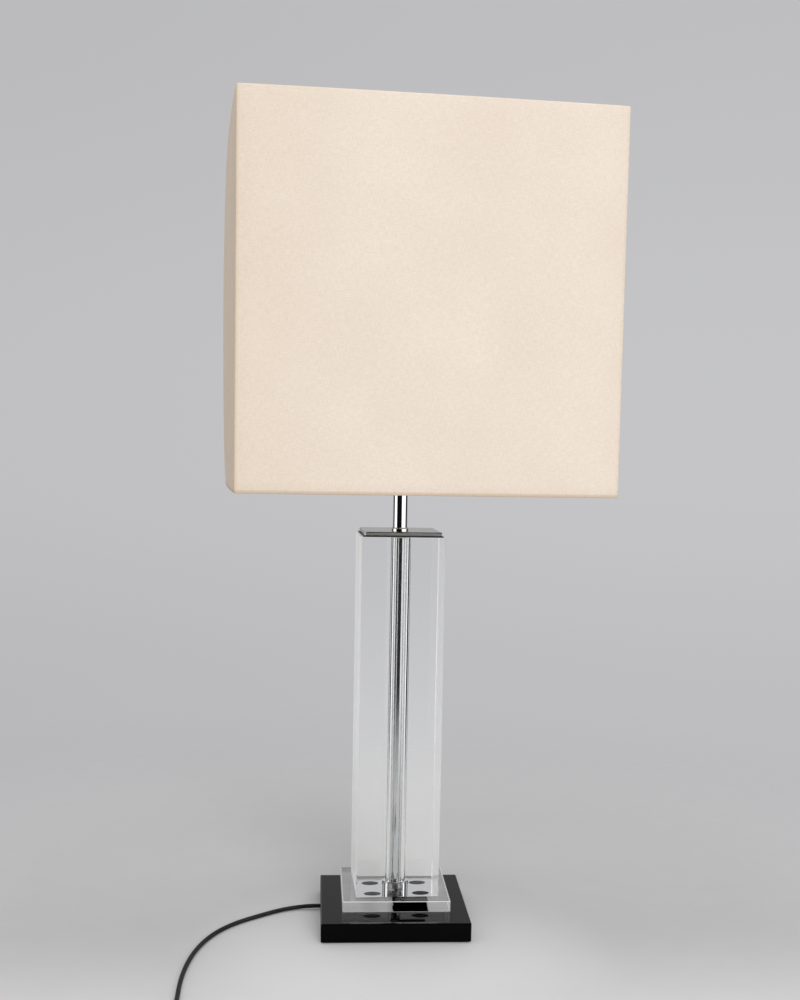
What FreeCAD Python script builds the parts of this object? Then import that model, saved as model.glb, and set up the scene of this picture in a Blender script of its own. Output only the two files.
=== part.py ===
"""Column table lamp: a clear square column on a black slab, with a chrome tube and a cube shade.

Millimetres, +Z up.  The origin is the middle of the underside, on the surface the lamp stands on.
-Y is the front, and the cord leaves on the -X side.
"""
import FreeCAD, Part
import math
import os
import re
import Sketcher
from FreeCAD import Placement, Rotation, Vector

doc = FreeCAD.newDocument("column_table_lamp")
sizes = doc.addObject("Spreadsheet::Sheet", "sizes")

# ---------------------------------------------------------------- driving dimensions
DIMENSIONS = [
    # base slab, foot plate and column
    ("felt_inset", 2, "felt sheet inside the base's edge"),
    ("felt_thick", 0.8, "thickness of the felt sheet"),
    ("base_side", 150, "side of the black base slab"),
    ("base_thick", 19, "thickness of the base slab"),
    ("base_edge", 0.8, "polished chamfer on the base"),
    ("recess_diameter", 60, "round recess under the base"),
    ("recess_roof", 4.8, "base material left above the recess"),
    ("column_x", 2, "column axis, to the right of the base's middle"),
    ("column_y", 13, "column axis, behind the base's middle"),
    ("column_yaw", 2, "turn of the column on its foot, in degrees"),
    ("foot_side", 110, "side of the clear foot plate"),
    ("foot_thick", 11, "thickness of the foot plate"),
    ("foot_hole", 13, "hole through the foot plate"),
    ("clear_edge", 0.5, "polished chamfer on the clear pieces"),
    ("pad_diameter", 17.5, "round bonding pad under the column"),
    ("pad_thick", 0.4, "thickness of a bonding pad"),
    ("pad_spacing", 50, "distance between bonding pads"),
    ("column_side", 85, "side of the clear column"),
    ("column_tall", 370, "height of the clear column"),
    ("column_bore", 21, "bore through the column"),
    ("foot_bore", 27, "wider bore at the column's foot"),
    ("foot_bore_deep", 9, "depth of the wider bore"),
    # tubes and fasteners on the axis
    ("stem_diameter", 10, "threaded stem tube that clamps the lamp together"),
    ("stem_wall", 1.2, "wall of the stem tube"),
    ("stem_gap", 0.3, "clearance round the stem tube"),
    ("stem_in_dome", 3, "stem tube above the lampholder's floor"),
    ("stem_below_nut", 0.5, "stem tube below its lower nut"),
    ("nut_wall", 2, "least wall of a stem nut"),
    ("nut_thick", 3.5, "thickness of a stem nut"),
    ("base_washer", 34, "diameter of the washer in the base"),
    ("base_washer_thick", 1.8, "thickness of the washer in the base"),
    ("foot_washer", 26, "diameter of the washer in the column's foot"),
    ("foot_washer_thick", 1.5, "thickness of the washer in the column's foot"),
    ("sleeve_diameter", 18, "chrome sleeve in the column"),
    ("sleeve_wall", 1, "wall of the chrome sleeve"),
    ("gasket_inset", 2, "black gasket inside the column's edge"),
    ("gasket_thick", 1, "thickness of the gasket"),
    ("cap_inset", 3.5, "chrome cap plate inside the column's edge"),
    ("cap_thick", 4, "thickness of the cap plate"),
    ("cap_edge", 0.6, "chamfer round the cap plate"),
    ("collar_diameter", 17.6, "collar at the foot of the neck"),
    ("collar_tall", 2.6, "height of the collar"),
    ("neck_diameter", 15, "chrome neck tube"),
    ("neck_wall", 1, "wall of the neck tube"),
    ("collar_gap", 0.1, "clearance of the collar round the neck tube"),
    ("collar_lip", 0.4, "collar's upper lip round the neck tube"),
    ("neck_tall", 94, "height of the neck tube"),
    # lampholder and bulb
    ("holder_diameter", 39.4, "outside of the lampholder's threaded shell"),
    ("holder_wall", 2.4, "wall of the lampholder"),
    ("dome_tall", 24, "height of the lampholder's lower half"),
    ("dome_foot", 22, "diameter of the lampholder's foot"),
    ("dome_floor", 4, "floor of the lampholder's lower half"),
    ("shell_tall", 36, "height of the lampholder's upper half"),
    ("dome_gap", 0.1, "clearance of the lampholder's floor round the stem tube"),
    ("core_gap", 0.5, "clearance of the ceramic core in the lampholder"),
    ("core_tall", 9, "height of the ceramic core"),
    ("liner_gap", 0.4, "clearance of the bulb's cap in the brass screw liner"),
    ("liner_wall", 0.6, "wall of the brass screw liner"),
    ("liner_tall", 24, "height of the brass screw liner"),
    ("contact_wide", 6, "width of the spring contact"),
    ("contact_rise", 1.8, "height of the spring contact"),
    ("wire_thick", 1.9, "each insulated wire in the lampholder"),
    ("wire_gap", 0.75, "each wire from the push bar"),
    ("wire_start", 0.15, "wires above the cord's end"),
    ("wire_apart", 0.2, "gap between the two wires at the cord's end"),
    ("bar_diameter", 5.4, "push bar of the switch"),
    ("bar_rise", 12, "push bar above the lampholder's foot"),
    ("bar_out", 7.3, "push bar outside the lampholder on each side, in mid travel"),
    ("bar_gap", 0.3, "clearance round the push bar"),
    ("bar_travel", 6, "travel of the push bar"),
    ("ring_wall", 7, "wall of a shade ring nut"),
    ("ring_tall", 6, "height of a shade ring nut"),
    ("ring_gap", 0.3, "clearance of a ring nut or fitter on the threaded shell"),
    ("ring_seat", 4, "lower ring nut above the shell's bottom edge"),
    ("bulb_diameter", 60, "globe of the bulb"),
    ("bulb_neck", 30, "glass neck of the bulb"),
    ("bulb_glass", 1, "wall of the bulb's glass"),
    ("bulb_cap_diameter", 26.4, "screw cap of the bulb"),
    ("bulb_cap_tall", 24, "height of the screw cap"),
    ("bulb_tip_diameter", 9.5, "contact tip of the bulb"),
    ("bulb_tip_tall", 2, "height of the contact tip"),
    ("bulb_globe_rise", 49, "globe's middle above the top of the screw cap"),
    ("bulb_seat", 0.3, "bulb's tip above the spring contact"),
    ("mount_diameter", 7, "glass mount inside the bulb"),
    ("mount_drop", 18, "top of the glass mount below the globe's middle"),
    ("flare_tall", 10, "height of the glass mount's flare"),
    ("flare_top", 8, "diameter of the flare's top"),
    ("flare_gap", 2, "flare from the glass neck"),
    ("filament_wire", 0.9, "thickness of the filament and its leads"),
    # shade
    ("shade_side", 350, "side of the square shade"),
    ("shade_tall", 350, "height of the shade"),
    ("shade_drop", 86.4, "shade's lower edge below its fitter ring"),
    ("shade_yaw", 5, "turn of the shade on its rings, in degrees"),
    ("panel_thick", 1, "lined fabric of the shade"),
    ("wire_diameter", 4, "square wires at the shade's edges"),
    ("wire_corner", 9, "corner radius of the square wires"),
    ("wire_inset", 1.2, "square wire from the shade's edge"),
    ("wire_in_panel", 0.1, "clearance of the square wires inside the panels"),
    ("post_diameter", 3, "upright wires in the shade's corners"),
    ("fitter_wall", 10, "width of the shade's fitter ring"),
    ("fitter_thick", 2, "thickness of the fitter ring"),
    ("fitter_gap", 0.2, "fitter ring from each ring nut"),
    ("arm_diameter", 3, "wire arms that carry the shade"),
    ("arm_weld", 1, "length of an arm inside the fitter ring"),
    # cord
    ("cord_diameter", 4.2, "round black cord"),
    ("cord_exit_y", 21, "cord's exit, behind the base's middle"),
    ("clamp_lift", 0.15, "cord clamp above the felt"),
    ("clamp_slack", 0.05, "clearance of the cord on its clamp"),
    ("relief_long", 22, "length of the cord's strain relief"),
    ("relief_inner", 1.2, "wall of the strain relief at its inner end"),
    ("relief_outer", 0.7, "wall of the strain relief at the base's side"),
    ("relief_gap", 0.1, "clearance of the cord in its strain relief"),
    ("channel_gap", 0.3, "clearance beside the strain relief in the base's channel"),
    ("channel_room", 0.4, "clearance above the strain relief in the base's channel"),
    ("clamp_x", -43, "middle of the cord clamp"),
    ("clamp_long", 22, "length of the cord clamp"),
    ("clamp_wide", 8, "width of the cord clamp"),
    ("clamp_thick", 1.1, "thickness of the cord clamp"),
    ("clamp_screw", 2.8, "diameter of a clamp screw"),
    ("clamp_screw_long", 11, "length of a clamp screw"),
    ("clamp_spacing", 15, "distance between clamp screws"),
    ("screw_gap", 0.1, "clearance round a clamp screw"),
    ("seat_gap", 1, "clearance round the cord clamp, and past its screws"),
    ("coil_turns", 9.25, "turns in the stored coil"),
    ("coil_layers", 4, "layers in the stored coil"),
    ("coil_middle", 23, "mean radius of the stored coil"),
    ("coil_gap", 0.55, "least distance between the coil's turns and layers"),
    ("coil_climb", 0.5, "turns in which the coil climbs a layer"),
    ("floor_gap", 0.15, "coil above the ground"),
    # plug
    ("plug_wide", 35, "width of the flat plug"),
    ("plug_thick", 13.7, "thickness of the flat plug"),
    ("plug_long", 36, "length of the plug's body"),
    ("plug_nose", 25, "width of the plug's body at the cord"),
    ("plug_round", 3, "rounding of the plug's body"),
    ("plug_relief_long", 24, "length of the plug's strain relief"),
    ("plug_relief_wide", 9, "plug's strain relief at the body"),
    ("plug_relief_lip", 0.4, "wall of the plug's strain relief at the cord"),
    ("plug_lift", 0.1, "plug above the ground"),
    ("pin_diameter", 4, "plug pin"),
    ("pin_long", 19, "length of a plug pin"),
    ("pin_spacing", 18.6, "distance between the plug pins"),
    ("pin_taper", 1.5, "length of a pin's tapered end"),
    ("pin_tip", 2, "diameter of a pin's end"),
]

# The free cord's route by hand, after its exit: to the coil (x, y, z), and from the coil to the plug
# (x, distance past the coil's end, drop below it; the last two lie at the plug's height).
CORD_ROUTE = [
    (-86.0, 21.0, 4.2), (-100.0, 21.4, 2.6), (-117.0, 14.6, 2.3), (-141.0, -4.2, 2.25), (-164.0, -24.6, 2.3),
    (-183.0, -53.0, 2.25), (-195.5, -90.0, 2.3), (-201.8, -130.0, 2.25), (-203.6, -172.0, 2.3),
    (-202.0, -214.0, 2.25), (-203.2, -250.0, 2.3), (-202.4, -281.0, 2.25),
]
TAIL_ROUTE = [(-158.0, -0.6, 0.2), (-140.0, -4.0, 3.2), (-121.0, -8.5, 8.2)]
PLUG_ROUTE = [(-104.0, -9.0), (-90.0, -9.0)]
COIL_START = (-202.4, -300.0)


def write_sizes():
    """Fill the sheet: one row per dimension, its name, its value and what it is."""
    for row, (name, value, note) in enumerate(DIMENSIONS, start=1):
        sizes.set("A%d" % row, name)
        sizes.set("B%d" % row, str(value))
        sizes.set("C%d" % row, note)
        sizes.setAlias("B%d" % row, name)
    doc.recompute()


def of_sheet(formula):
    """A formula in plain names, as an expression that reads the sheet."""
    return re.sub(r"\b([a-z][a-z_]*)\b(?!\()", r"sizes.\1", formula)


def bind(thing, prop, formula):
    thing.setExpression(prop, of_sheet(formula))


def size(name):
    return float(sizes.get(name))


def height_of(formula):
    """The value of a formula of plus, minus, times and share, in millimetres."""
    probe = doc.addObject("Part::Vertex", "probe")
    bind(probe, "Z", formula)
    doc.recompute()
    value = probe.Z.Value
    doc.removeObject(probe.Name)
    return value


# Widths and heights that several pieces share, as formulas on the sheet.
LOOSE_HOLE = "(stem_diameter + 2 * stem_gap)"
LINER_BORE = "(bulb_cap_diameter + 2 * liner_gap)"
RING_BORE = "(holder_diameter + 2 * ring_gap)"
BAR_LONG = "(holder_diameter + 2 * bar_out)"
CORD_HEIGHT = "(felt_thick + clamp_lift + clamp_thick + clamp_slack + cord_diameter / 2)"
CHANNEL_WIDE = "(cord_diameter + 2 * relief_inner + 2 * channel_gap)"
CHANNEL_DEEP = "(%s + cord_diameter / 2 + relief_inner + channel_room - felt_thick)" % CORD_HEIGHT
BASE_TOP = "(felt_thick + base_thick)"
RECESS_TOP = "(felt_thick + base_thick - recess_roof)"
FOOT_TOP = "(felt_thick + base_thick + foot_thick)"
COLUMN_FOOT = "(felt_thick + base_thick + foot_thick + pad_thick)"
COLUMN_TOP = "(felt_thick + base_thick + foot_thick + pad_thick + column_tall)"
CAP_FOOT = "(%s + gasket_thick)" % COLUMN_TOP
CAP_TOP = "(%s + cap_thick)" % CAP_FOOT
NECK_TOP = "(%s + neck_tall)" % CAP_TOP
SHELL_FOOT = "(%s + dome_tall)" % NECK_TOP
CORE_FOOT = "(%s - core_tall)" % SHELL_FOOT
WASHER_FOOT = "(%s - base_washer_thick)" % RECESS_TOP
BASE_NUT_FOOT = "(%s - nut_thick)" % WASHER_FOOT
STEM_FOOT = "(%s - stem_below_nut)" % BASE_NUT_FOOT
FOOT_WASHER_FOOT = "(%s + foot_bore_deep - foot_washer_thick)" % COLUMN_FOOT
FITTER_FOOT = "(%s + ring_seat + ring_tall + fitter_gap)" % SHELL_FOOT
UPPER_RING_FOOT = "(%s + fitter_thick + fitter_gap)" % FITTER_FOOT
SHADE_LOW = "(%s - shade_drop)" % FITTER_FOOT
BULB_CAP_FOOT = "(%s + contact_rise + bulb_seat + bulb_tip_tall)" % SHELL_FOOT
BULB_MIDDLE = "(%s + bulb_cap_tall + bulb_globe_rise)" % BULB_CAP_FOOT


# ---------------------------------------------------------------- ways of making a piece
def set_place(piece, x="0", y="0", z="0", yaw=None):
    """Bind a piece's place to the sheet: x, y and z, and a turn about the vertical."""
    if yaw:
        piece.Placement = Placement(Vector(0, 0, 0), Rotation(Vector(0, 0, 1), 1))
        bind(piece, "Placement.Rotation.Angle", yaw)
    for axis, formula in zip("xyz", (x, y, z)):
        bind(piece, "Placement.Base." + axis, formula)
    return piece


def on_axis(piece, z, yaw=None):
    return set_place(piece, "column_x", "column_y", z, yaw)


def new_body(name):
    body = doc.addObject("PartDesign::Body", name)
    body.Label = name
    return body


def new_sketch(body, plane="XY_Plane"):
    """An empty sketch on one of the body's own origin planes."""
    sketch = body.newObject("Sketcher::SketchObject", body.Name + "_sketch")
    support = [item for item in body.Origin.OriginFeatures if item.Role == plane][0]
    sketch.AttachmentSupport = [(support, "")]
    sketch.MapMode = "FlatFace"
    return sketch


def constrain(sketch, kind, geometry, point, formula):
    number = sketch.addConstraint(Sketcher.Constraint(kind, -1, 1, geometry, point, 1.0))
    bind(sketch, "Constraints[%d]" % number, formula)


def draw_polygon(sketch, points):
    """A closed outline through points given as pairs of formulas."""
    count = len(points)
    first = sketch.GeometryCount
    for step in range(count):
        turn = 2 * math.pi * step / count
        after = 2 * math.pi * (step + 1) / count
        start = Vector(10 * math.cos(turn), 10 * math.sin(turn), 0)
        end = Vector(10 * math.cos(after), 10 * math.sin(after), 0)
        sketch.addGeometry(Part.LineSegment(start, end), False)
    for step in range(count):
        following = first + (step + 1) % count
        sketch.addConstraint(Sketcher.Constraint("Coincident", first + step, 2, following, 1))
    for step, (across, along) in enumerate(points):
        constrain(sketch, "DistanceX", first + step, 1, across)
        constrain(sketch, "DistanceY", first + step, 1, along)


def draw_circle(sketch, diameter, x="0", y="0"):
    number = sketch.addGeometry(Part.Circle(Vector(1, 1, 0), Vector(0, 0, 1), 5), False)
    limit = sketch.addConstraint(Sketcher.Constraint("Diameter", number, 10))
    bind(sketch, "Constraints[%d]" % limit, diameter)
    constrain(sketch, "DistanceX", number, 3, x)
    constrain(sketch, "DistanceY", number, 3, y)


def box_outline(low_x, low_y, high_x, high_y):
    return [(low_x, low_y), (high_x, low_y), (high_x, high_y), (low_x, high_y)]


def square_outline(side):
    half = "%s / 2" % side
    return box_outline("-" + half, "-" + half, half, half)


def pad(body, sketch, height):
    feature = body.newObject("PartDesign::Pad", body.Name + "_pad")
    feature.Profile = sketch
    bind(feature, "Length", height)
    sketch.Visibility = False
    doc.recompute()
    return feature


def pocket_up(body, sketch, depth):
    """Cut upwards from the body's underside, and make sure that material went."""
    before = body.Shape.Volume
    feature = body.newObject("PartDesign::Pocket", body.Name + "_pocket")
    feature.Profile = sketch
    feature.Reversed = True
    bind(feature, "Length", depth)
    doc.recompute()
    if body.Shape.Volume >= before:
        raise RuntimeError(body.Name + ": a pocket cuts nothing")
    return feature


def chamfer_outside(body, amount):
    """Chamfer every edge of a plain block, before its holes are cut."""
    block = body.Tip
    edges = ["Edge%d" % (number + 1) for number in range(len(block.Shape.Edges))]
    feature = body.newObject("PartDesign::Chamfer", body.Name + "_chamfer")
    feature.Base = (block, edges)
    bind(feature, "Size", amount)
    doc.recompute()
    return feature


def plate(name, side, thick, hole, edge=None):
    """A square plate with a round hole in its middle."""
    body = new_body(name)
    sketch = new_sketch(body)
    draw_polygon(sketch, square_outline(side))
    pad(body, sketch, thick)
    if edge:
        chamfer_outside(body, edge)
    drill = new_sketch(body)
    draw_circle(drill, hole)
    pocket_up(body, drill, thick)
    return body


def lathe(name, points):
    """A turned piece: a closed half section of (radius, height) formulas round the vertical."""
    body = new_body(name)
    sketch = new_sketch(body, "XZ_Plane")
    draw_polygon(sketch, points)
    feature = body.newObject("PartDesign::Revolution", name + "_turn")
    feature.Profile = sketch
    feature.ReferenceAxis = (sketch, ["V_Axis"])
    feature.Angle = 360
    doc.recompute()
    return body


def ring_section(outer, inner, height):
    return [(inner + " / 2", "0"), (outer + " / 2", "0"), (outer + " / 2", height), (inner + " / 2", height)]


def cylinder(name, diameter, height):
    piece = doc.addObject("Part::Cylinder", name)
    bind(piece, "Radius", "(%s) / 2" % diameter)
    bind(piece, "Height", height)
    return piece


def cut(name, whole, tool):
    piece = doc.addObject("Part::Cut", name)
    piece.Base = whole
    piece.Tool = tool
    piece.Label = name
    return piece


def tube(name, outer, inner, height):
    """A plain tube with its foot at its own origin."""
    return cut(name, cylinder(name + "_outside", outer, height), cylinder(name + "_bore", inner, height))


def group(name, pieces):
    piece = doc.addObject("Part::Compound", name)
    piece.Links = pieces
    piece.Label = name
    return piece


def solid_feature(name, shape, place=None):
    """A piece whose shape is worked out here, from sizes read from the sheet."""
    piece = doc.addObject("Part::Feature", name)
    piece.Label = name
    piece.Shape = shape
    if place:
        piece.Placement = place
    return piece


# ---------------------------------------------------------------- base, foot plate and column
def make_base():
    felt = new_body("base_felt")
    sketch = new_sketch(felt)
    draw_polygon(sketch, square_outline("(base_side - 2 * felt_inset)"))
    pad(felt, sketch, "felt_thick")

    base = new_body("base_plate")
    sketch = new_sketch(base)
    draw_polygon(sketch, square_outline("base_side"))
    pad(base, sketch, "base_thick")
    chamfer_outside(base, "base_edge")
    recess = new_sketch(base)
    draw_circle(recess, "recess_diameter", "column_x", "column_y")
    pocket_up(base, recess, "base_thick - recess_roof")
    stem_hole = new_sketch(base)
    draw_circle(stem_hole, LOOSE_HOLE, "column_x", "column_y")
    pocket_up(base, stem_hole, "base_thick")
    low_y = "cord_exit_y - %s / 2" % CHANNEL_WIDE
    high_y = "cord_exit_y + %s / 2" % CHANNEL_WIDE
    channel = new_sketch(base)
    draw_polygon(channel, box_outline("-base_side / 2 - base_edge", low_y, "column_x", high_y))
    pocket_up(base, channel, CHANNEL_DEEP)
    seat = new_sketch(base)
    side = " (clamp_wide / 2 + seat_gap)"
    end = " (clamp_long / 2 + seat_gap)"
    low = ("clamp_x -" + side, "cord_exit_y -" + end)
    high = ("clamp_x +" + side, "cord_exit_y +" + end)
    draw_polygon(seat, box_outline(*low, *high))
    pocket_up(base, seat, CHANNEL_DEEP)
    for sign in ("-", "+"):
        screw_hole = new_sketch(base)
        screw_y = "cord_exit_y %s clamp_spacing / 2" % sign
        draw_circle(screw_hole, "clamp_screw + 2 * screw_gap", "clamp_x", screw_y)
        pocket_up(base, screw_hole, "clamp_screw_long + seat_gap")
    set_place(base, z="felt_thick")
    return [felt, base]


def make_foot_and_column():
    foot = on_axis(plate("foot_plate", "foot_side", "foot_thick", "foot_hole", "clear_edge"), BASE_TOP)

    pads = []
    for number, (side_x, side_y) in enumerate([("-", "-"), ("", "-"), ("-", ""), ("", "")]):
        disc = cylinder("column_pad_%d" % number, "pad_diameter", "pad_thick")
        pads.append(set_place(disc, side_x + "pad_spacing / 2", side_y + "pad_spacing / 2"))
    pads = on_axis(group("column_pads", pads), FOOT_TOP, "column_yaw")

    column = plate("column", "column_side", "column_tall", "column_bore", "clear_edge")
    seat = new_sketch(column)
    draw_circle(seat, "foot_bore")
    pocket_up(column, seat, "foot_bore_deep")
    on_axis(column, COLUMN_FOOT, "column_yaw")
    return [foot, pads, column]


# ---------------------------------------------------------------- tubes and fasteners on the axis
def hexagon_nut(name, z):
    """A plain hexagon nut on the stem."""
    body = new_body(name)
    sketch = new_sketch(body)
    corner = "(stem_diameter / 2 + nut_wall) / cos(30)"
    points = []
    for step in range(6):
        points.append(("%s * cos(%d)" % (corner, 60 * step), "%s * sin(%d)" % (corner, 60 * step)))
    draw_polygon(sketch, points)
    pad(body, sketch, "nut_thick")
    drill = new_sketch(body)
    draw_circle(drill, "stem_diameter")
    pocket_up(body, drill, "nut_thick")
    return on_axis(body, z)


def make_stem():
    stem_tall = "(%s + dome_floor + stem_in_dome - %s)" % (NECK_TOP, STEM_FOOT)
    stem = tube("stem_tube", "stem_diameter", "(stem_diameter - 2 * stem_wall)", stem_tall)
    on_axis(stem, STEM_FOOT)
    base_washer = on_axis(tube("base_washer", "base_washer", LOOSE_HOLE, "base_washer_thick"), WASHER_FOOT)
    base_nut = hexagon_nut("base_nut", BASE_NUT_FOOT)
    foot_washer = tube("foot_washer", "foot_washer", LOOSE_HOLE, "foot_washer_thick")
    on_axis(foot_washer, FOOT_WASHER_FOOT)
    foot_nut = hexagon_nut("foot_nut", "(%s - nut_thick)" % FOOT_WASHER_FOOT)
    sleeve_tall = "(column_tall - foot_bore_deep)"
    sleeve_bore = "(sleeve_diameter - 2 * sleeve_wall)"
    sleeve = tube("column_sleeve", "sleeve_diameter", sleeve_bore, sleeve_tall)
    on_axis(sleeve, "(%s + foot_bore_deep)" % COLUMN_FOOT)
    return [stem, base_washer, base_nut, foot_washer, foot_nut, sleeve]


def make_cap_and_neck():
    gasket = plate("cap_gasket", "(column_side - 2 * gasket_inset)", "gasket_thick", LOOSE_HOLE)
    on_axis(gasket, COLUMN_TOP, "column_yaw")
    cap = plate("cap_plate", "(column_side - 2 * cap_inset)", "cap_thick", LOOSE_HOLE, "cap_edge")
    on_axis(cap, CAP_FOOT, "column_yaw")
    collar = lathe("neck_collar", [
        ("neck_diameter / 2 + collar_gap", "0"),
        ("collar_diameter / 2", "0"),
        ("collar_diameter / 2", "collar_tall * 0.55"),
        ("neck_diameter / 2 + collar_gap + collar_lip", "collar_tall"),
        ("neck_diameter / 2 + collar_gap", "collar_tall"),
    ])
    on_axis(collar, CAP_TOP)
    neck = tube("neck_tube", "neck_diameter", "(neck_diameter - 2 * neck_wall)", "neck_tall")
    on_axis(neck, CAP_TOP)
    return [gasket, cap, collar, neck]


# ---------------------------------------------------------------- lampholder, switch and bulb
def make_lampholder():
    dome = lathe("holder_dome", [
        ("stem_diameter / 2 + dome_gap", "0"),
        ("dome_foot / 2", "0"),
        ("holder_diameter / 2 - 3", "dome_tall * 0.3"),
        ("holder_diameter / 2", "dome_tall * 0.55"),
        ("holder_diameter / 2", "dome_tall"),
        ("holder_diameter / 2 - holder_wall", "dome_tall"),
        ("holder_diameter / 2 - holder_wall", "dome_tall * 0.6"),
        ("dome_foot / 2", "dome_floor + 1"),
        ("stem_diameter / 2 + dome_gap", "dome_floor"),
    ])
    drill = new_sketch(dome, "YZ_Plane")
    draw_circle(drill, "bar_diameter + 2 * bar_gap", "0", "bar_rise")
    through = dome.newObject("PartDesign::Pocket", "holder_dome_bar_hole")
    through.Profile = drill
    through.Midplane = True
    through.Type = "ThroughAll"
    doc.recompute()
    on_axis(dome, NECK_TOP)

    shell_bore = "(holder_diameter - 2 * holder_wall)"
    shell = lathe("holder_shell", ring_section("holder_diameter", shell_bore, "shell_tall"))
    on_axis(shell, SHELL_FOOT)
    doc.recompute()
    core = on_axis(cylinder("holder_core", shell_bore + " - 2 * core_gap", "core_tall"), CORE_FOOT)
    core.Label = "holder_core"
    liner = tube("holder_liner", LINER_BORE + " + 2 * liner_wall", LINER_BORE, "liner_tall")
    on_axis(liner, SHELL_FOOT)
    contact = doc.addObject("Part::Box", "holder_contact")
    contact.Label = "holder_contact"
    bind(contact, "Length", "contact_wide * 2")
    bind(contact, "Width", "contact_wide")
    bind(contact, "Height", "contact_rise")
    set_place(contact, "column_x - contact_wide", "column_y - contact_wide / 2", SHELL_FOOT)

    bar = cylinder("switch_bar", "bar_diameter", BAR_LONG)
    bar.Label = "switch_bar"
    bar.Placement = Placement(Vector(0, 0, 0), Rotation(Vector(0, 1, 0), 90))
    set_place(bar, "column_x - %s / 2 - bar_travel / 2" % BAR_LONG, "column_y", "%s + bar_rise" % NECK_TOP)

    ring_outside = RING_BORE + " + 2 * ring_wall"
    lower = tube("ring_lower", ring_outside, RING_BORE, "ring_tall")
    on_axis(lower, "(%s + ring_seat)" % SHELL_FOOT)
    upper = on_axis(tube("ring_upper", ring_outside, RING_BORE, "ring_tall"), UPPER_RING_FOOT)
    return [dome, shell, core, liner, contact, bar, lower, upper]


def make_holder_wires():
    """Two insulated wires from the cord's end, round the push bar, to the ceramic core."""
    doc.recompute()
    foot = Vector(size("column_x"), size("column_y"), height_of(NECK_TOP))
    start = size("dome_floor") + size("stem_in_dome") + size("wire_start")
    end = size("dome_tall") - size("core_tall")
    thick = size("wire_thick")
    spread = size("bar_diameter") / 2 + size("wire_gap") + thick / 2
    first_run = 0.8
    spread_run = 2.8
    wires = []
    for sign in (-1, 1):
        near = sign * (thick + size("wire_apart")) / 2
        away = sign * size("wire_apart") / 2
        path = [
            Vector(0, near, start),
            Vector(0, near + away, start + first_run),
            Vector(0, sign * spread, start + first_run + spread_run),
            Vector(0, sign * spread, end),
        ]
        wires.append(sweep_round("holder_wires", round_route(path, "holder_wires"), thick))
    return [solid_feature("holder_wires", Part.Compound(wires), Placement(foot, Rotation()))]


def globe_shape(radius, neck_radius, neck_drop):
    """A solid bulb outline: a globe that runs down a cone to its neck."""
    side_share = 0.86
    waist_share = 0.62
    waist_hollow = 0.6
    top = Vector(0, 0, radius)
    side = Vector(radius * side_share, 0, -radius * math.sqrt(1 - side_share ** 2))
    waist = Vector((side.x + neck_radius) / 2 - waist_hollow, 0, -waist_share * neck_drop)
    neck = Vector(neck_radius, 0, -neck_drop)
    middle = Vector(0, 0, -neck_drop)
    outline = [
        Part.Arc(top, Vector(radius, 0, 0), side).toShape(),
        Part.Arc(side, waist, neck).toShape(),
        Part.LineSegment(neck, middle).toShape(),
        Part.LineSegment(middle, top).toShape(),
    ]
    return Part.Face(Part.Wire(outline)).revolve(Vector(0, 0, 0), Vector(0, 0, 1), 360)


def make_bulb(level):
    cap = on_axis(cylinder("bulb_cap", "bulb_cap_diameter", "bulb_cap_tall"), BULB_CAP_FOOT)
    cap.Label = "bulb_cap"
    tip = cylinder("bulb_tip", "bulb_tip_diameter", "bulb_tip_tall")
    tip.Label = "bulb_tip"
    on_axis(tip, "(%s - bulb_tip_tall)" % BULB_CAP_FOOT)
    drop = size("bulb_globe_rise")
    wall = size("bulb_glass")
    outside = globe_shape(size("bulb_diameter") / 2, size("bulb_neck") / 2, drop)
    inside = globe_shape(size("bulb_diameter") / 2 - wall, size("bulb_neck") / 2 - wall, drop)
    middle = Placement(Vector(size("column_x"), size("column_y"), level), Rotation())
    glass = solid_feature("bulb_glass", outside.cut(inside), middle)

    stem = cylinder("bulb_stem_rod", "mount_diameter", "bulb_globe_rise - mount_drop")
    flare = doc.addObject("Part::Cone", "bulb_stem_flare")
    bind(flare, "Radius1", "bulb_neck / 2 - bulb_glass - flare_gap")
    bind(flare, "Radius2", "flare_top / 2")
    bind(flare, "Height", "flare_tall")
    stem_piece = doc.addObject("Part::Fuse", "bulb_stem")
    stem_piece.Base = stem
    stem_piece.Tool = flare
    stem_piece.Label = "bulb_stem"
    on_axis(stem_piece, "(%s + bulb_cap_tall)" % BULB_CAP_FOOT)

    # Two leads from the glass mount, with the filament bowed between them.
    wire = size("filament_wire") / 2
    top = drop - size("mount_drop") + wire
    half_route = [Vector(2, 0, top), Vector(11, 0, top + 14), Vector(4, 4, top + 16)]
    path = [Vector(-point.x, point.y, point.z) for point in half_route] + half_route[::-1]
    pieces = []
    for start, end in zip(path[:-1], path[1:]):
        rod = Part.makeCylinder(wire, (end - start).Length, start, end - start)
        pieces.append(rod)
        pieces.append(Part.makeSphere(wire, end))
    filament = pieces[0].multiFuse(pieces[1:-1])
    foot = Placement(Vector(size("column_x"), size("column_y"), level - drop), Rotation())
    return [glass, cap, tip, stem_piece, solid_feature("bulb_filament", filament, foot)]


# ---------------------------------------------------------------- shade
def swept_loop(side, corner, diameter):
    """A square of round wire with rounded corners, its middle line at height 0."""
    half = side / 2
    flat = half - corner
    bend = corner * math.sqrt(0.5)
    edges = []
    for quarter in range(4):
        turn = Rotation(Vector(0, 0, 1), 90 * quarter)
        straight = [Vector(-flat, -half, 0), Vector(flat, -half, 0)]
        arc = [Vector(flat, -half, 0), Vector(flat + bend, -flat - bend, 0), Vector(half, -flat, 0)]
        edges.append(Part.LineSegment(*[turn.multVec(point) for point in straight]).toShape())
        edges.append(Part.Arc(*[turn.multVec(point) for point in arc]).toShape())
    section = Part.Wire([Part.Circle(Vector(0, -half, 0), Vector(1, 0, 0), diameter / 2).toShape()])
    return Part.Wire(edges).makePipeShell([section], True, True)


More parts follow.
